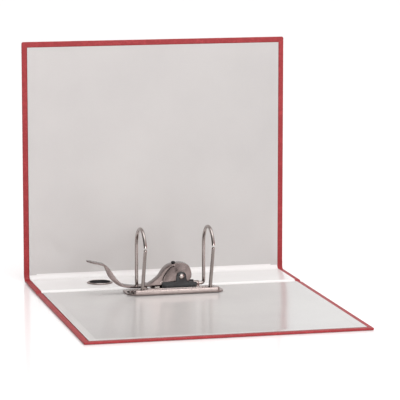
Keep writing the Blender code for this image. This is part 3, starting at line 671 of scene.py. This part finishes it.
def sheet_outline(path, thickness):
    """The side outline of a thin sheet whose shown face follows a path of (y, z)."""
    path = [Vector(point) for point in path]
    under = []
    for before, point, after in zip([path[0], *path], path, [*path[1:], path[-1]]):
        ahead = (after - before).normalized()
        under.append(point + thickness * Vector((ahead.y, -ahead.x)))
    return path + under[::-1]


def press_groove(cover, low, high, facing):
    """A groove pressed in the foil round a liner with the given box, except at its fold."""
    thin, outward = facing
    wide, deep = 0.0007, 0.0006
    across = 3 - thin
    level = low[thin] if outward > 0 else high[thin]
    fold = high if thin == 2 else low
    for axis, side in ((0, low), (0, high), (across, low), (across, high)):
        if axis == across and side is fold:
            continue
        start = low - Vector((wide, wide, wide))
        end = high + Vector((wide, wide, wide))
        start[thin], end[thin] = sorted((level - outward * deep, level + outward * PAST))
        if side is low:
            end[axis] = low[axis]
        else:
            start[axis] = high[axis]
        cut(cover, lambda bm: add_box(bm, start, end))
    cover.data.set_sharp_from_angle(angle=math.radians(40))


def make_case():
    rear = make_cover(
        "rear_cover_foil", "rear_cover", "rear", REAR_LOW, REAR_HIGH, 2, (1, REAR_LOW.y)
    )
    sink_rivets(rear)
    # The spine has no free edge: no upright edge lies that far out.
    spine = make_cover("spine_foil_wrap", "spine", "spine", SPINE_LOW, SPINE_HIGH, 2, (0, 1.0))
    front = make_cover(
        "front_cover_foil", "front_cover", "front", FRONT_LOW, FRONT_HIGH, 1, (2, FRONT_HIGH.z)
    )
    rear_box = (
        Vector((-LINER_HALF, REAR_LINER_LOW.y, REAR_HIGH.z)),
        Vector((LINER_HALF, REAR_LINER_HIGH.y, REAR_LINER_HIGH.z)),
    )
    spine_box = (
        Vector((-SPINE_LINER_HALF, SPINE_LINER_LOW.y, SPINE_HIGH.z)),
        Vector((SPINE_LINER_HALF, SPINE_LINER_HIGH.y, SPINE_LINER_HIGH.z)),
    )
    front_box = (
        Vector((-LINER_HALF, FRONT_LINER_LOW.y, SPINE_LINER_HIGH.z + BEND_INSIDE)),
        Vector((LINER_HALF, FRONT_LOW.y, FRONT_LINER_HIGH.z)),
    )
    press_groove(rear, *rear_box, UP)
    press_groove(front, *front_box, TOWARDS_REAR)
    steps = [(0, LINER_HALF - TURN_IN_STEP, 1), (0, TURN_IN_STEP - LINER_HALF, -1)]
    rear_steps = [*steps, (1, REAR_LINER_LOW.y + TURN_IN_STEP, -1)]
    front_steps = [*steps, (2, FRONT_LINER_HIGH.z - TURN_IN_STEP, 1)]
    make_liner("rear_cover_liner", "rear_cover", "rear", rear_box, UP, rear_steps, PAPER)
    liner = make_liner("spine_inside_liner", "spine", "spine", spine_box, UP, steps, SPINE_PAPER)
    make_liner(
        "front_cover_liner", "front_cover", "front", front_box, TOWARDS_REAR, front_steps, PAPER
    )
    centre = (RING_LOW + RING_HIGH) / 2
    reach = Vector((0, 0, 0.02))
    ring_room = (RING_HIGH.x - RING_LOW.x) / 2 - 0.0019
    for layer in (spine, liner):
        cut(layer, lambda bm: add_rod(bm, centre - reach, centre + reach, ring_room, 64))
        layer.data.set_sharp_from_angle(angle=math.radians(40))
    make_rear_crease()
    make_front_crease()


def sink_rivets(cover):
    """Room for the flat rivet heads in the outside of the rear cover."""
    radius, below, top = 0.0043, -0.002, 0.0013

    def heads(bm):
        for place in RIVETS:
            start = Vector((place.x, place.y, below))
            add_rod(bm, start, start + Vector((0, 0, top - below)), radius, 40)

    cut(cover, heads)
    cover.data.set_sharp_from_angle(angle=math.radians(40))


def make_rear_crease():
    """Foil and liner between rear cover and spine, where no board lies between them."""
    near, far = REAR_HIGH.y, SPINE_LOW.y
    middle = (near + far) / 2
    lift = SPINE_LOW.z - REAR_LOW.z
    top = REAR_HIGH.z
    under_face = 0.0004
    outline = [
        (near - LAP, TUCK), (near, TUCK), (middle - 0.002, 0.15 * lift),
        (middle, 0.4 * lift), (middle + 0.002, 0.75 * lift), (far, lift + TUCK),
        (far + LAP, lift + TUCK), (far + LAP, top + lift - under_face),
        (far, top + lift - under_face), (far - 0.0012, lift + 1.7 * CREASE_SHEET),
        (middle + 0.0020, 0.8 * lift + CREASE_SHEET), (middle, 0.4 * lift + CREASE_SHEET),
        (middle - 0.0022, 0.2 * lift + CREASE_SHEET), (near + 0.0010, 1.4 * CREASE_SHEET),
        (near, top - under_face), (near - LAP, top - under_face),
    ]
    make_strip("rear_crease_foil_strip", outline, FOIL_LAYER)
    level = REAR_LINER_HIGH.z
    path = fillet(
        [
            (near - 0.0008, level - HAIR), (near + 0.0002, level - HAIR),
            (near + 0.0016, level - 0.0009), (middle, level - 0.0010),
            (far - 0.0014, level + lift - 0.0009), (far - 0.0002, level + lift - HAIR),
            (far + 0.0008, level + lift - HAIR),
        ],
        0.0006,
        4,
    )
    outline = sheet_outline(path, LINER_SHEET)
    make_strip("rear_crease_liner_strip", outline, SPINE_PAPER_LAYER)


def make_front_crease():
    """Foil and liner between spine and front cover, bent up in a quarter turn."""
    start, top = SPINE_HIGH.y, FRONT_LOW.z
    under, over = SPINE_LOW.z, SPINE_HIGH.z
    outside, inside = FRONT_HIGH.y, FRONT_LOW.y
    liner_wall, liner_level = FRONT_LINER_LOW.y, SPINE_LINER_HIGH.z
    end = under + BEND_OUTSIDE + 0.0012
    outer = fillet(
        [(start - LAP, under + TUCK), (outside - TUCK, under + TUCK), (outside - TUCK, end)],
        BEND_OUTSIDE - TUCK,
        14,
    )
    inner = fillet(
        [(inside + 0.0002, end), (inside + 0.0002, over - 0.0006), (start - LAP, over - 0.0006)],
        BEND_INSIDE,
        10,
    )
    make_strip("front_crease_foil_strip", outer + inner, FOIL_LAYER)
    groove = liner_wall - BEND_INSIDE
    groove_floor = liner_level - 0.00055
    path = fillet(
        [
            (start - 0.0030, liner_level - HAIR), (groove - 0.0034, liner_level - HAIR),
            (groove - 0.0022, groove_floor), (groove - 0.0010, groove_floor),
            (groove + 0.0002, liner_level - HAIR), (liner_wall + HAIR, liner_level - HAIR),
            (liner_wall + HAIR, top - 0.0010),
        ],
        [*[0.0003] * 4, BEND_INSIDE - 0.0005],
        8,
    )
    outline = sheet_outline(path, LINER_SHEET)
    make_strip("front_crease_liner_strip", outline, SPINE_PAPER_LAYER)


# ---- finger ring and label ----

def make_finger_ring():
    """A pressed eyelet with rolled rims and the washer that locks it inside, with a black tube in the
    eyelet as painted shade in the hole.
    """
    centre = (RING_LOW + RING_HIGH) / 2
    foot = Vector((centre.x, centre.y, 0))
    flange = (RING_HIGH.x - RING_LOW.x) / 2
    tube = flange - 0.0029
    height = RING_HIGH.z
    profile = round_outline(
        [
            (tube, 0, 0.0002), (flange - 0.0003, 0, 0.00002), (flange, 0, 0.00055),
            (tube + 0.0009, 0, 0.0007), (tube + 0.0008, 0, height - 0.0005),
            (tube + 0.0003, 0, height), (tube - 0.0001, 0, height - 0.0003),
        ],
        0.00016,
        3,
    )
    eyelet = [(point.x, point.z) for point in profile]
    ring = make_spun("finger_ring_eyelet", eyelet, foot, (0, 0, 1), 72)
    dress(ring, WIRE_NICKEL, "spine", ["finger_ring_outer"], smooth=70)

    # A black sheet inside the eyelet's wall: painted shade, where the hole is dark.
    inside, outside = tube - 0.0005, tube - 0.0001
    wall = [
        (inside, 0.0005), (outside, 0.0005), (outside, height - 0.0004), (inside, height - 0.0004)
    ]
    shade_tube = make_spun("finger_ring_painted_shade_tube", wall, foot, (0, 0, 1), 72)
    dress(shade_tube, BLACK_ABS, "spine", smooth=30)

    low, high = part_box("finger_ring_inner")
    inner = tube + 0.00095
    profile = round_outline(
        [
            (inner, 0, low.z - 0.00015), (flange, 0, low.z - 0.00015),
            (flange - 0.0002, 0, low.z + 0.0002), (inner + 0.0003, 0, high.z + 0.0002),
            (inner, 0, high.z + 0.0001),
        ],
        0.00012,
        3,
    )
    disc = [(point.x, point.z) for point in profile]
    washer = make_spun("finger_ring_washer", disc, foot, (0, 0, 1), 72)
    dress(washer, NICKEL, "spine", ["finger_ring_inner"], smooth=70)


def make_card():
    """The card's print is bars, blocks and an oval only."""
    low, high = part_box("label_card")
    bm = bmesh.new()
    add_box(bm, low, high)
    round_edges(bm, edges_along(bm, 2), 0.0008, 3)
    top, left, right = high.x, low.y, high.y
    petrol, teal, grey, ochre = 1, 2, 3, 4
    line, indent = 0.0008, 0.005
    blocks = [
        (top - 0.0165, top, left, right, petrol),
        (top - 0.0850, top - 0.0440, left, right, teal),
        (low.x + 0.0080, low.x + 0.0125, left, right, petrol),
    ]
    for down, short, ink in (
        (0.0240, 0.020, ochre), (0.0275, 0.012, ochre), (0.0385, indent, grey),
        (0.1000, indent, grey), (0.1160, indent, grey), (0.1320, indent, grey),
    ):
        blocks.append((top - down, top - down + line, left + indent, right - short, ink))
    for axis in (0, 1):
        places = {place for block in blocks for place in block[2 * axis:2 * axis + 2]}
        for place in sorted(places):
            slice_at(bm, axis, place)
    for face in bm.faces:
        middle = face.calc_center_median()
        if middle.z > low.z + SAME:
            continue
        for from_x, to_x, from_y, to_y, ink in blocks:
            if from_x < middle.x < to_x and from_y < middle.y < to_y:
                face.material_index = ink
    raised, sunk = HAIR, 0.00005
    centre = (low.x + 0.0300, (left + right) / 2, low.z + (sunk - raised) / 2)
    half_long, half_wide = 0.0190, 0.0105
    oval = bmesh.ops.create_cone(
        bm,
        cap_ends=True,
        segments=64,
        radius1=1,
        radius2=1,
        depth=1,
        matrix=Matrix.Translation(centre)
        @ Matrix.Diagonal((half_wide, half_long, raised + sunk, 1)),
    )["verts"]
    plate = min(
        {face for vert in oval for face in vert.link_faces if len(face.verts) > 4},
        key=lambda face: face.calc_center_median().z,
    )
    rim = bmesh.ops.inset_region(bm, faces=[plate], thickness=0.0012, use_even_offset=True)
    for face in rim["faces"]:
        face.material_index = grey
    card = make_object("label_card_print", bm)
    for material in (CARD_WHITE, INK_PETROL, INK_TEAL, INK_GREY, INK_OCHRE):
        card.data.materials.append(material)
    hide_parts("label_card")
    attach(card, "card")


def make_pocket():
    """Clear film with double ribs along its three sealed sides, and a thumb notch."""
    low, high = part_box("label_pocket")
    bm = bmesh.new()
    add_box(bm, (low.x, low.y, low.z + 0.00004), (high.x, high.y, low.z + 0.00015))
    round_edges(bm, edges_along(bm, 2), 0.002, 6)
    rib, rib_top = 0.0007, low.z + 0.0003
    for inset in (0.0004, 0.0016):
        for from_x, to_x, from_y, to_y in (
            (low.x + 0.002, high.x - 0.001, low.y + inset, low.y + inset + rib),
            (low.x + 0.002, high.x - 0.001, high.y - inset - rib, high.y - inset),
            (low.x + inset, low.x + inset + rib, low.y + 0.002, high.y - 0.002),
        ):
            add_box(bm, (from_x, from_y, low.z), (to_x, to_y, rib_top))
    film = make_object("label_pocket_film", bm)

    def thumb_notch(bm):
        middle = Vector((high.x + 0.002, (low.y + high.y) / 2, 0))
        reach = Vector((0, 0, 0.01))
        add_rod(bm, middle - reach, middle + reach, 0.009, 48)

    cut(film, thumb_notch)
    dress(film, FILM, "spine", ["label_pocket"], smooth=30)


# ---- the lever arch mechanism ----

def mech(x, y, z):
    """A point given from the mechanism's middle along X."""
    return Vector((MECH_X + x, y, z))


def make_base():
    """The pressed base plate, rounded down to the liner, with two ribs and two small holes."""
    rim = REAR_LINER_HIGH.z + 0.00005
    bm = bmesh.new()
    add_box(bm, (PLATE_LOW.x, PLATE_LOW.y, rim), PLATE_HIGH)
    round_edges(bm, edges_along(bm, 2), 0.009, 10)
    round_edges(bm, top_edges(bm, PLATE_HIGH.z), 0.0007, 4)
    plate = make_object("base_plate_pressing", bm)
    middle_y = (PLATE_LOW.y + PLATE_HIGH.y) / 2

    def ribs(bm):
        low, high = PLATE_HIGH.z - 0.0004, PLATE_HIGH.z + 0.0007
        half_long, half_wide = 0.050, 0.0013
        for y in (PLATE_LOW.y + 0.0103, PLATE_HIGH.y - 0.0122):
            verts = add_box(
                bm, mech(-half_long, y - half_wide, low), mech(half_long, y + half_wide, high)
            )
            round_edges(bm, edges_along(bm, 2, verts), 0.0012, 4)

    cut(plate, ribs, "UNION")

    def holes(bm):
        for x in (-0.0445, 0.0425):
            add_rod(bm, mech(x, middle_y, 0), mech(x, middle_y, 0.01), 0.0016, 24)

    cut(plate, holes)
    soften(plate, 0.00025, 2, 40)
    dress(plate, NICKEL, "rear_cover", ["base_plate"], smooth=45)

    for number, place in enumerate(RIVETS, 1):
        top = PLATE_HIGH.z
        shank, head = 0.0019, 0.0038
        profile = [
            (0, 0.00008), (0.0036, 0.00008), (0.0039, 0.0004), (0.0036, 0.0009),
            (shank, 0.0009), (shank, top + 0.00005), (head, top + 0.00005),
            (head, top + 0.00035), (0.93 * head, top + 0.0008),
            (0.72 * head, top + 0.00115), (0.40 * head, top + 0.00138), (0, top + 0.00145),
        ]
        foot = Vector((place.x, place.y, 0))
        rivet = make_spun(f"rivet_{number}", profile, foot, (0, 0, 1), 40)
        dress(rivet, WIRE_NICKEL, "rear_cover", [f"base_rivet_{number}"], smooth=35)


def make_posts():
    """Straight posts riveted in the plate, each with a collar and a tapered tip."""
    centre = Vector((0, BOW.y - ARCH_RADIUS, ARCH_TOP - WIRE - ARCH_RADIUS))
    join = centre + ARCH_RADIUS * Vector((0, -math.cos(JOIN_ANGLE), math.sin(JOIN_ANGLE)))
    foot = Vector((0, BOW.y - POST_INSET, PLATE_HIGH.z))
    end = (join - foot).length - WIRE * math.tan(JOIN_ANGLE)
    profile = [
        (0, -0.0005), (0.0034, -0.0005), (0.0034, 0.0002), (0.0030, 0.0009),
        (0.0022, 0.0013), (WIRE, 0.0018), (WIRE, end - 0.0016), (0.92 * WIRE, end - 0.0010),
        (0.62 * WIRE, end - 0.0003), (0.40 * WIRE, end), (0, end),
    ]
    for name, side in (("left", -1), ("right", 1)):
        place = Vector((MECH_X + side * HOLE_PITCH / 2, foot.y, foot.z))
        post = make_spun(f"post_{name}", profile, place, POST_DIRECTION, 32)
        dress(post, WIRE_NICKEL, "rear_cover", [f"fixed_post_{name}"], smooth=35)


def make_bow():
    """Both arches and their cranked shaft: one drawn wire, bent."""
    half = HOLE_PITCH / 2
    centre = Vector((0, BOW.y - ARCH_RADIUS, ARCH_TOP - WIRE - ARCH_RADIUS))
    slack = (0.0003 + 0.5 * WIRE) / ARCH_RADIUS
    sides = []
    for side in (-1, 1):
        middle = centre + Vector((MECH_X + side * half, 0, 0))
        sides.append(arc(middle, ARCH_RADIUS, math.pi - JOIN_ANGLE - slack, 0, 40))
    tip_y = BOW.y - CRANK_REACH
    corners = [
        sides[0][-1],
        mech(-half, BOW.y, BOW.z),
        mech(CRANK_LEFT, BOW.y, BOW.z),
        mech(CRANK_LEFT, tip_y, BOW.z),
        mech(CRANK_RIGHT, tip_y, BOW.z),
        mech(CRANK_RIGHT, BOW.y, BOW.z),
        mech(half, BOW.y, BOW.z),
        sides[1][-1],
    ]
    path = sides[0][:-1] + fillet(corners, BEND, 10) + sides[1][-2::-1]
    curve = bpy.data.curves.new("arch_wire", "CURVE")
    curve.dimensions = "3D"
    curve.bevel_depth = WIRE
    curve.bevel_resolution = 6
    curve.use_fill_caps = True
    line = curve.splines.new("POLY")
    line.points.add(len(path) - 1)
    for point, place in zip(line.points, path):
        point.co = (*place, 1)
    bow = bpy.data.objects.new("arch_wire", curve)
    bpy.context.scene.collection.objects.link(bow)
    bpy.context.view_layer.update()
    mesh = bpy.data.meshes.new_from_object(bow.evaluated_get(bpy.context.evaluated_depsgraph_get()))
    bpy.data.objects.remove(bow)
    bm = bmesh.new()
    bm.from_mesh(mesh)
    bmesh.ops.remove_doubles(bm, verts=bm.verts, dist=SAME)
    bow = make_object("arch_wire", bm)
    dress(bow, WIRE_NICKEL, "arch", ["arch_bow"], smooth=60)


def make_saddles():
    """Two pressed saddles that hold the bow's shaft down."""
    inner = WIRE + 0.00015
    outer = inner + SHEET
    for name in ("bow_bearing_left", "bow_bearing_right"):
        low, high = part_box(name)
        base = low.z - 0.0002
        step = base + SHEET
        foot = (high.y - low.y) / 2
        centre = (low.x, BOW.y, BOW.z)
        outline = [
            (low.x, BOW.y + foot, base), (low.x, BOW.y + foot, step),
            (low.x, BOW.y + outer, step), *arc(centre, outer, 0, math.pi, 20),
            (low.x, BOW.y - outer, step), (low.x, BOW.y - foot, step),
            (low.x, BOW.y - foot, base), (low.x, BOW.y - inner, base),
            *arc(centre, inner, math.pi, 0, 20), (low.x, BOW.y + inner, base),
        ]
        bm = bmesh.new()
        add_prism(bm, outline, (high.x - low.x, 0, 0))
        saddle = make_object(name.replace("bow_bearing", "shaft_saddle"), bm)
        soften(saddle, 0.00025, 2, 50)
        dress(saddle, NICKEL, "rear_cover", [name], smooth=40)


def lever_edges():
    """The lever's upper and lower edge, tip first, measured from its pin."""
    upper = [
        (-0.1100, 0.0220), (-0.0940, 0.0182), (-0.0890, 0.0165), (-0.0835, 0.0110),
        (-0.0785, 0.0035), (-0.0735, -0.0028), (-0.0675, -0.0074), (-0.0565, -0.0096),
        (-0.0452, -0.0098), (-0.0360, -0.0074), (-0.0260, 0.0000), (-0.0210, 0.0070),
        (-0.0150, 0.0125), (-0.0080, 0.0146), (0.0000, 0.0152), (0.0070, 0.0135),
        (0.0104, 0.0096), (0.0124, 0.0030), (0.0122, -0.0020),
    ]
    lower = [
        (-0.1100, 0.0206), (-0.0945, 0.0166), (-0.0902, 0.0146), (-0.0870, 0.0092),
        (-0.0838, 0.0016), (-0.0776, -0.0055), (-0.0690, -0.0099), (-0.0567, -0.0117),
        (-0.0450, -0.0117), (-0.0350, -0.0100), (-0.0280, -0.0102), (-0.0160, -0.0102),
        (-0.0040, -0.0102), (0.0040, -0.0102), (0.0075, -0.0081), (0.0100, -0.0050),
    ]
    return spline_through(upper, 4), spline_through(lower, 4)


def make_lever():
    """A channel pressed from sheet, with a flared grip and a round cheek at the pin."""
    upper, lower = lever_edges()
    width = 0.0126
    body_half = 0.0060
    outline = [PIN + Vector((p.x, -width / 2, p.y)) for p in upper + lower[::-1]]
    bm = bmesh.new()
    add_prism(bm, outline, (0, width, 0))
    lever = make_object("lever_pressing", bm)

    def plan(bm):
        """The lever seen from above: straight, then flared to a round tip."""
        tip, neck, end = -0.1100, -0.0900, 0.02
        flare, nose, shoulder = 0.0063, 0.0071, 0.0075
        shape = [
            (neck, -body_half), (end, -body_half), (end, body_half), (neck, body_half),
            (tip + shoulder, flare),
        ]
        for step in range(1, 16):
            angle = math.pi / 2 + math.pi * step / 16
            shape.append((tip + nose + nose * math.cos(angle), flare * math.sin(angle)))
        shape.append((tip + shoulder, -flare))
        low = PIN.z - 0.03
        add_prism(bm, [(PIN.x + x, PIN.y + y, low) for x, y in shape], (0, 0, 0.07))

    def hollow(bm):
        """All that lies under the top wall, between the two cheeks."""
        last = len(upper) - 1
        under = []
        for index, point in enumerate(upper):
            ahead = (upper[min(index + 1, last)] - upper[max(index - 1, 0)]).normalized()
            under.append(point + SHEET * Vector((ahead.y, -ahead.x)))
        left, right, floor = -0.114, 0.0190, -0.03
        shape = [
            (upper[0].x - 0.002, 0.0180), *under[1:], (right, -0.004), (right, floor), (left, floor)
        ]
        side = SHEET - body_half
        add_prism(bm, [PIN + Vector((x, side, z)) for x, z in shape], (0, -2 * side, 0))

    def cheek_gap(bm):
        """A curved gap in both cheeks, just under the hump's outline."""
        middle = [
            (-0.0219, -0.0088), (-0.0220, -0.0050), (-0.0215, -0.0012), (-0.0187, 0.0039),
            (-0.0156, 0.0081), (-0.0119, 0.0113), (-0.0080, 0.0124),
        ]
        shape = sheet_outline(spline_through(middle, 4), 0.0011)
        add_prism(bm, [PIN + Vector((p.x, -0.02, p.y)) for p in shape], (0, 0.04, 0))

    def cheek_disc(bm):
        proud, radius = 0.00025, 0.0088
        reach = Vector((0, body_half + proud, 0))
        add_rod(bm, PIN - reach, PIN + reach, radius, 64)

    cut(lever, plan, "INTERSECT")
    cut(lever, cheek_disc, "UNION")
    cut(lever, hollow)
    cut(lever, cheek_gap)
    soften(lever, 0.0004, 3, 40)
    # The lever's finish is the nickel painted darker, as painted shade and reflection.
    dress(lever, SHADED_NICKEL, "lever", ["lever_arm"], smooth=40)

    low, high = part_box("lever_pin")
    half = (high.y - low.y) / 2 - 0.0011
    head, shank = 0.0032, 0.0020
    side = [
        (0, half + 0.0012), (0.5 * head, half + 0.00112), (0.85 * head, half + 0.0008),
        (head, half + 0.0003), (head, half), (shank, half),
    ]
    profile = side + [(radius, -height) for radius, height in side[::-1]]
    pin = make_spun("lever_rivet_pin", profile, PIN, (0, 1, 0), 32)
    dress(pin, WIRE_NICKEL, "rear_cover", ["lever_pin"], smooth=35)

    low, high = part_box("lever_pad")
    radius = (high.x - low.x) / 2
    tall = high.z - low.z
    foot = Vector(((low.x + high.x) / 2, (low.y + high.y) / 2, low.z - 0.0009))
    profile = [
        (0, 0), (0.8 * radius, 0), (radius, 0.0010), (radius, 0.0012 + 0.2 * tall),
        (0.93 * radius, 0.0009 + 0.55 * tall), (0.70 * radius, 0.0009 + 0.85 * tall),
        (0.35 * radius, 0.0009 + 0.97 * tall), (0, 0.0009 + tall),
    ]
    pad = make_spun("lever_rubber_pad", profile, foot, (0, 0, 1), 32)
    dress(pad, RUBBER, "lever", ["lever_pad"], smooth=40)


def make_block():
    """The moulded cradle under the lever: walls with ears for the pin, ribs and a floor."""
    wall = 0.0018
    base = PLATE_HIGH.z + 0.00005
    ear = BLOCK_HIGH.z - PIN.z
    lip = PLATE_HIGH.z + 0.0105
    bm = bmesh.new()
    add_box(
        bm,
        (PIN.x - 0.0130, BLOCK_LOW.y + wall / 2, base),
        (BLOCK_HIGH.x, BLOCK_HIGH.y - wall / 2, base + 0.0014),
    )
    block = make_object("lever_cradle", bm)

    def side_wall(y, left):
        def build(bm):
            ears = []
            for step in range(17):
                angle = math.pi * step / 16
                ears.append(PIN + ear * Vector((math.cos(angle), 0, math.sin(angle))))
            outline = [
                Vector((left, 0, base)),
                Vector((BLOCK_HIGH.x, 0, base)),
                Vector((BLOCK_HIGH.x, 0, lip - 0.001)),
                Vector((PIN.x + ear + 0.001, 0, lip)),
                *ears,
                Vector((PIN.x - ear - 0.001, 0, lip)),
                Vector((left + 0.001, 0, lip)),
                Vector((left, 0, lip - 0.001)),
            ]
            add_prism(bm, [Vector((p.x, y, p.z)) for p in outline], (0, wall, 0))

        return build

    cut(block, side_wall(BLOCK_LOW.y, BLOCK_LOW.x), "UNION")
    cut(block, side_wall(BLOCK_HIGH.y - wall, PIN.x - 0.0120), "UNION")

    def ribs(bm):
        for x in (-0.0175, -0.0115, 0.0115, 0.0160):
            low = Vector((PIN.x + x, BLOCK_LOW.y - 0.0006, base))
            add_box(bm, low, low + Vector((0.0012, 0.0010, 0.0064)))

    cut(block, ribs, "UNION")
    soften(block, 0.0003, 2, 40)
    dress(block, BLACK_ABS, "rear_cover", ["bearing_block"], smooth=40)


def make_bar():
    """The compressor bar: a pressed channel with rounded edges and two long grooves."""
    bm = bmesh.new()
    add_box(bm, BAR_LOW, BAR_HIGH)
    round_edges(bm, edges_along(bm, 2), 0.0028, 8)
    round_edges(bm, top_edges(bm, BAR_HIGH.z), 0.0013, 5)
    bar = make_object("compressor_pressing", bm)
    sheet = 0.0010

    def hollow(bm):
        end = 0.002
        add_box(
            bm,
            (BAR_LOW.x + end, BAR_LOW.y + sheet, 0),
            (BAR_HIGH.x - end, BAR_HIGH.y - sheet, BAR_HIGH.z - sheet),
        )

    def plate_room(bm):
        """The bar rests over the base plate, so its walls stop clear of the plate."""
        add_box(
            bm,
            (BAR_LOW.x - 0.01, PLATE_LOW.y - 0.0004, 0),
            (BAR_HIGH.x + 0.01, BAR_HIGH.y + 0.001, PLATE_HIGH.z + 0.0006),
        )

    def grooves(bm):
        middle = (BAR_LOW.y + BAR_HIGH.y) / 2
        reach, half_wide, floor = 0.034, 0.0005, BAR_HIGH.z - 0.0004
        for y in (middle - 0.0017, middle + 0.0017):
            verts = add_box(
                bm, mech(-reach, y - half_wide, floor), mech(reach, y + half_wide, BAR_HIGH.z + PAST)
            )
            round_edges(bm, edges_along(bm, 2, verts), 0.0004, 3)

    def post_holes(bm):
        for side in (-1, 1):
            foot = mech(side * HOLE_PITCH / 2, BOW.y - POST_INSET, PLATE_HIGH.z)
            reach = POST_DIRECTION * 0.012
            add_rod(bm, foot - reach, foot + reach, WIRE + 0.0005, 32)

    for build in (hollow, plate_room, grooves, post_holes):
        cut(bar, build)
    soften(bar, 0.0002, 2, 45)
    dress(bar, NICKEL, "compressor", ["compressor_bar"], smooth=40)


def dress_kept_nodes():
    """CAD nodes whose shape stays: only their finish is new."""
    finishes = {
        "leaf_spring": SPRING,
        "lever_roller": BLACK_ABS,
        "roller_pin": NICKEL,
        "bar_bush_left": BLACK_ABS,
        "bar_bush_right": BLACK_ABS,
    }
    for name, material in finishes.items():
        for slot in frame["nodes"][name].material_slots:
            slot.material = material


make_camera()
make_floor()
make_lighting()
make_case()
make_finger_ring()
make_card()
make_pocket()
make_base()
make_posts()
make_bow()
make_saddles()
make_block()
make_lever()
make_bar()
dress_kept_nodes()
